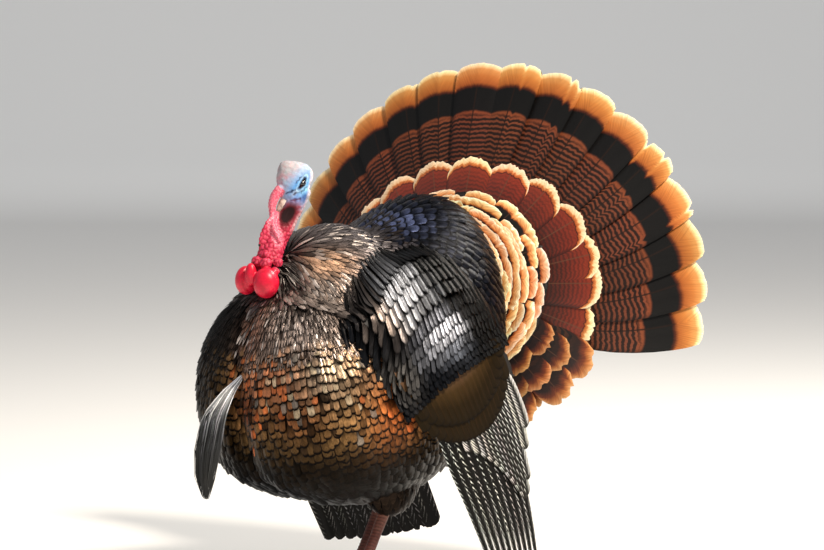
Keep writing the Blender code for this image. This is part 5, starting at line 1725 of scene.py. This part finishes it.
def makeSecondaries(side, name):
    # stacked behind and above the primaries, shorter towards the body
    share = np.linspace(0.0, 1.0, 14)
    starts = np.stack([0.30 + 0.55 * share, np.full(14, 0.40)], axis=1)
    tips = 0.585 + 0.20 * (1 - np.abs(share - 0.72) / 0.72) - 0.10 * smoothStep(share, 0.8, 1.0)
    ends = np.stack([0.30 + 0.68 * share ** 0.8, tips], axis=1)
    makeFlightFeathers(name + "Secondaries", side, starts, ends, np.full(14, 0.026), {
        "shape": secondaryShape, "inwards": (0.0002, -0.0014), "lean": 0.05, "vary": 0.12, "tone": 1.0,
        "material": secondaryMaterial, "slot": "black_feathers", "node": f"{nodeOf[side]}_secondaries"})


panel = {
    "rows": ((0.0, 19, 0.0030), (-0.055, 18, 0.0036)),      # how far up its tips lie, count, lift
    "shape": dict(contourShape, columns=9, rows=12, round=0.06, bow=0.10, fray=0.004,
                  profile=[0.55, 0.80, 0.98, 1.0, 0.86]),
}
panelLook = dict(
    plumeLook, barbCount=60.0, barbRun=2.0, barbDepth=0.12, frayed=0.01, shaft=0.15, rough=0.45, metal=0.10,
    paintedSheenAmount=0.05, paintedSheen="#8a7260", specular=0.06,
    bands=[(0.0, "#120c08"), (0.10, "#6b503c"), (0.32, "#563f2c"), (0.52, "#33240f"), (0.75, "#1b1203"),
           (0.96, "#171005"), (1.0, "#0a0704")],
)


def makePanel(side, name):
    # the smooth bronze panel: two rows of broad coverts, close set, to an oval edge
    parts = []
    row = {"shape": panel["shape"], "length": 0.20, "width": 0.0245, "depth": 0.009, "drift": -0.012,
           "stations": 10, "unruly": 0.0001, "slope": 0.0}
    for number, (rise, count, lift) in enumerate(panel["rows"]):
        across = acrossPlaces(0.0, 0.90, count, number)
        edge = 0.365 + 0.195 * np.sqrt(np.maximum(0.0, 1.0 - ((across - 0.45) / 0.47) ** 2))
        vanes = wingRow(side, across, edge + rise * smoothStep(edge, 0.37, 0.45), dict(row, lift=lift))
        vanes["tint"] = plainTint(count, 0.05, 0.02)
        parts.append(vanes)
    makeCoat(name + "Panel", parts, panelMaterial, "black_feathers")


nodeOf = {1: "wing_left", -1: "wing_right"}
silverMaterial = vaneMaterial("silverShoulderFeathers", silverLook)
panelMaterial = plumeMaterial("bronzePanelFeathers", panelLook)
secondaryMaterial = plumeMaterial("barredSecondaries", secondaryLook)
primaryMaterial = plumeMaterial("barredPrimaries", primaryLook)
for wingSide, wingName in ((1, "leftWing"), (-1, "rightWing")):
    makeShoulder(wingSide, wingName)
    makePrimaries(wingSide, wingName)
    makeSecondaries(wingSide, wingName)
    makePanel(wingSide, wingName)


# Thighs: short dark feathers that end in a bristly fringe over the shank.
thigh = {
    "centre": (0.072, 0.030, 0.212), "size": (0.046, 0.060, 0.072), "rings": np.arange(0.36, 1.02, 0.085),
    "stations": 6, "width": 0.016, "length": 0.30, "rootDepth": 0.006, "tipLift": 0.002,
    "shape": dict(contourShape, columns=5, rows=6, round=0.30, fray=0.10, bow=0.15),
}


def thighFall(along):
    return math.pi * (0.18 + 0.80 * along)


def makeThighs():
    parts = []
    share = np.linspace(0, 1, thigh["stations"])
    for side in (1, -1):
        centre = legPlace(thigh["centre"], side)

        def surface(across, along):
            fall, around = thighFall(along), across * 2 * math.pi
            ball = [np.sin(fall) * np.cos(around), np.sin(fall) * np.sin(around), np.cos(fall)]
            return centre + np.stack(ball, axis=-1) * thigh["size"]

        for number, tip in enumerate(thigh["rings"]):
            count = int(24 * max(0.40, math.sin(thighFall(min(tip, 0.86)))))
            across = (np.arange(count) + 0.5 * (number % 2)) / count + rng.normal(0, 0.006, count)
            ends = np.stack([across, tip + rng.normal(0, 0.015, count)], axis=1)
            starts = ends - (0.0, thigh["length"])
            spines, ups = spinesOn(surface, starts, ends, thigh["stations"], (0, 0, 0))
            ups = ups * np.sign((ups * (spines - centre)).sum(axis=2))[..., None]
            lift = thigh["tipLift"] * share - thigh["rootDepth"] * (1 - share)
            spines = spines + ups * lift[None, :, None]
            vanes = buildVanes(spines, ups, thigh["width"] * rng.uniform(0.8, 1.2, count), thigh["shape"])
            vanes["tint"] = finishTint(paint(vanes["tips"], "#1d150f"), 0.35)
            vanes["rim"] = plainRim(count, "#2c221a", 0.06)
            parts.append(vanes)
    makeCoat("thighFeathers", parts, backFeathers, "black_feathers")


# The beard: coarse round bristles, nearly black, with their silver shine where the light rakes them painted
# into their colour.
beard = {
    "route": ((0.0, -0.236, 0.398), (-0.008, -0.262, 0.370), (-0.024, -0.279, 0.330), (-0.030, -0.288, 0.275),
              (-0.032, -0.293, 0.225), (-0.032, -0.292, 0.186)),
    "widths": (0.0045, 0.0155, 0.0285, 0.0310, 0.0250, 0.0070), "flatness": 0.36, "bristles": 360,
    "thickness": 0.00085, "stations": 12,
}


def beardMaterial():
    material, surface = newMaterial("beardBristles")
    spot = addNode(material, "UVMap", {}, uv_map="vane")
    along = addNode(material, "SeparateXYZ", {0: spot}).outputs[1]
    tint = addNode(material, "Attribute", {}, attribute_name="tint")
    wander = addNode(material, "Math", {0: tint.outputs["Alpha"], 1: 0.30, 2: along},
                     operation="MULTIPLY_ADD")
    # painted highlight: silver-white on the upper part of each bristle, dark below
    tone = addNode(material, "ValToRGB", {0: wander}, [(0.05, "#e4e5e8"), (0.36, "#fbfbfc"),
                                                       (0.55, "#8d8f93"),
                                                       (0.72, "#24262a"), (1.0, "#0a0c0b")])
    toned = addNode(material, "VectorMath", {0: tone, 1: tint}, operation="MULTIPLY")
    setInputs(material, surface, {"Base Color": toned, "Roughness": 0.38})
    return material


def makeBeard():
    count, stations = beard["bristles"], beard["stations"]
    places = np.linspace(0.0, 1.0, len(beard["route"]))
    share = np.linspace(0.0, 1.0, stations)
    angle = rng.uniform(0, 2 * math.pi, count)
    radius = np.sqrt(rng.uniform(0.0, 1.0, count))
    lengths = 1.0 - 0.30 * rng.uniform(0, 1, count) ** 1.6 * (0.4 + 0.6 * radius)
    at = share * lengths[:, None]
    centre = np.stack([np.interp(at, places, values) for values in np.array(beard["route"]).T], axis=-1)
    wide = np.interp(at, places, beard["widths"])
    wave = 0.05 * np.sin(at * rng.uniform(6, 14, count)[:, None] + rng.uniform(0, 6, count)[:, None])
    across = (np.cos(angle + 0.25 * rng.normal(0, 1, count)) * radius)[:, None] + wave
    fore = (np.sin(angle) * radius)[:, None]
    spines = centre + np.stack([across * wide, fore * wide * beard["flatness"], np.zeros_like(wide)], axis=-1)
    tangents = unit(np.gradient(spines, axis=1))
    sideways = unit(np.cross(tangents, (0.0, 1.0, 0.0)))
    ahead = np.cross(sideways, tangents)
    thick = (beard["thickness"] * (1.0 - 0.75 * share ** 3))[None, :, None]
    points = np.stack([spines + (math.cos(turn) * sideways + math.sin(turn) * ahead) * thick
                       for turn in (0.5, 2.6, 4.7)], axis=2)     # count, stations, 3 corners
    grid = np.arange(stations * 3).reshape(stations, 3)
    quads = gridCells(np.concatenate([grid, grid[:, :1]], axis=1))
    caps = np.array([grid[0, ::-1], grid[-1]])
    spots = np.stack(np.broadcast_arrays(np.array((0.0, 0.33, 0.66)), share[:, None]), axis=-1).reshape(-1, 2)
    # their places on the bake map are their tips', because the roots lie in one spot
    bristles = repeatVane(points.reshape(count, -1, 3), quads, caps, spots, spines[:, ::-1], len(quads))
    bristles["tint"] = plainTint(count, 0.30)
    clumps = np.sign(np.sin(angle * 9 + radius * 5))
    bristles["tint"][:, :3] *= (0.80 + 0.42 * clumps)[:, None]
    makeCoat("beardBristles", [bristles], beardMaterial(), "beard_bristles", ["beard"])


makeThighs()
makeBeard()


# Camera, floor and light.
stage = {
    "azimuth": math.radians(50.0), "elevation": math.radians(5.0), "distance": 8.0, "lens": 199.7,
    "sensor": 36.0,
    "aim": (0.1085, 0.5548),            # right and up of the bird's place on the floor
    "paper": 44.0, "paperStart": -18.0, "bendStart": 12.0, "bendRadius": 7.0,
}


def makeCamera(right, back):
    target = bodyOrigin + right * stage["aim"][0] + back.cross(right) * stage["aim"][1]
    bpy.ops.object.camera_add(location=target + back * stage["distance"])
    camera = bpy.context.object
    camera.rotation_euler = (-back).to_track_quat("-Z", "Y").to_euler()
    camera.data.lens = stage["lens"]
    camera.data.sensor_width = stage["sensor"]
    bpy.context.scene.camera = camera


def makePaper(right):
    # a paper sweep: flat under the bird, then bent up far behind it
    useOnly()
    bpy.ops.mesh.primitive_grid_add(x_subdivisions=2, y_subdivisions=160, size=1.0, location=(0, 0, 0))
    floor = bpy.context.object
    floor.name = "studioFloor"
    spots = meshPoints(floor)
    start, radius = stage["bendStart"], stage["bendRadius"]
    run = (spots[:, 1] + 0.5) * stage["paper"] + stage["paperStart"]
    bend = np.clip((run - start) / radius, 0.0, math.pi / 2)
    ahead = np.minimum(run, start) + radius * np.sin(bend)
    height = radius * (1 - np.cos(bend)) + np.maximum(0.0, run - start - radius * math.pi / 2)
    aside = spots[:, 0] * stage["paper"]
    points = [right.x * aside - right.y * ahead, right.y * aside + right.x * ahead, height]
    setPoints(floor, np.stack(points, axis=1))
    floor.data.shade_smooth()
    material, surface = newMaterial("paleStudioPaper")
    setInputs(material, surface, {"Base Color": "#f3f2f0", "Roughness": 1.0})
    floor.data.materials.append(material)


def makeLight(right, back):
    world = bpy.data.worlds.new("studioAir")
    bpy.context.scene.world = world
    world.use_nodes = True
    world.node_tree.nodes["Background"].inputs[0].default_value = linearColour("#f1f3f6")
    world.node_tree.nodes["Background"].inputs[1].default_value = 0.44
    # name, place from the bird's middle, what it faces away from, size, watts and colour
    key = right * 2.3 + back * 1.9 + Vector((0, 0, 3.3))
    rim = right * 2.4 - back * 1.6 + Vector((0, 0, 3.0))
    behind = -back * 9.0 + Vector((0, 0, 6.0))
    for name, place, away, size, power, colour in (
            ("keyLight", key, key, 0.8, 310.0, "#fff3e2"), ("rimLight", rim, rim, 1.0, 130.0, "#fdf6ea"),
            ("paperLight", behind, back, 6.0, 140.0, "#ffffff")):
        bpy.ops.object.light_add(type="AREA", location=bodyOrigin + Vector((0, 0, 0.45)) + place)
        lamp = bpy.context.object
        lamp.name = name
        lamp.data.shape = "DISK"
        lamp.data.size = size
        lamp.data.energy = power
        lamp.data.color = linearColour(colour)[:3]
        lamp.rotation_euler = away.to_track_quat("Z", "Y").to_euler()


def makeStage():
    azimuth, elevation = stage["azimuth"], stage["elevation"]
    right = Vector((math.cos(azimuth), math.sin(azimuth), 0.0))
    level = Vector((math.sin(azimuth), -math.cos(azimuth), 0.0))
    back = level * math.cos(elevation) + Vector((0, 0, math.sin(elevation)))
    makeCamera(right, back)
    makePaper(right)
    makeLight(right, back)
    bpy.context.scene.view_settings.view_transform = "Standard"
    print("stage set")


makeStage()
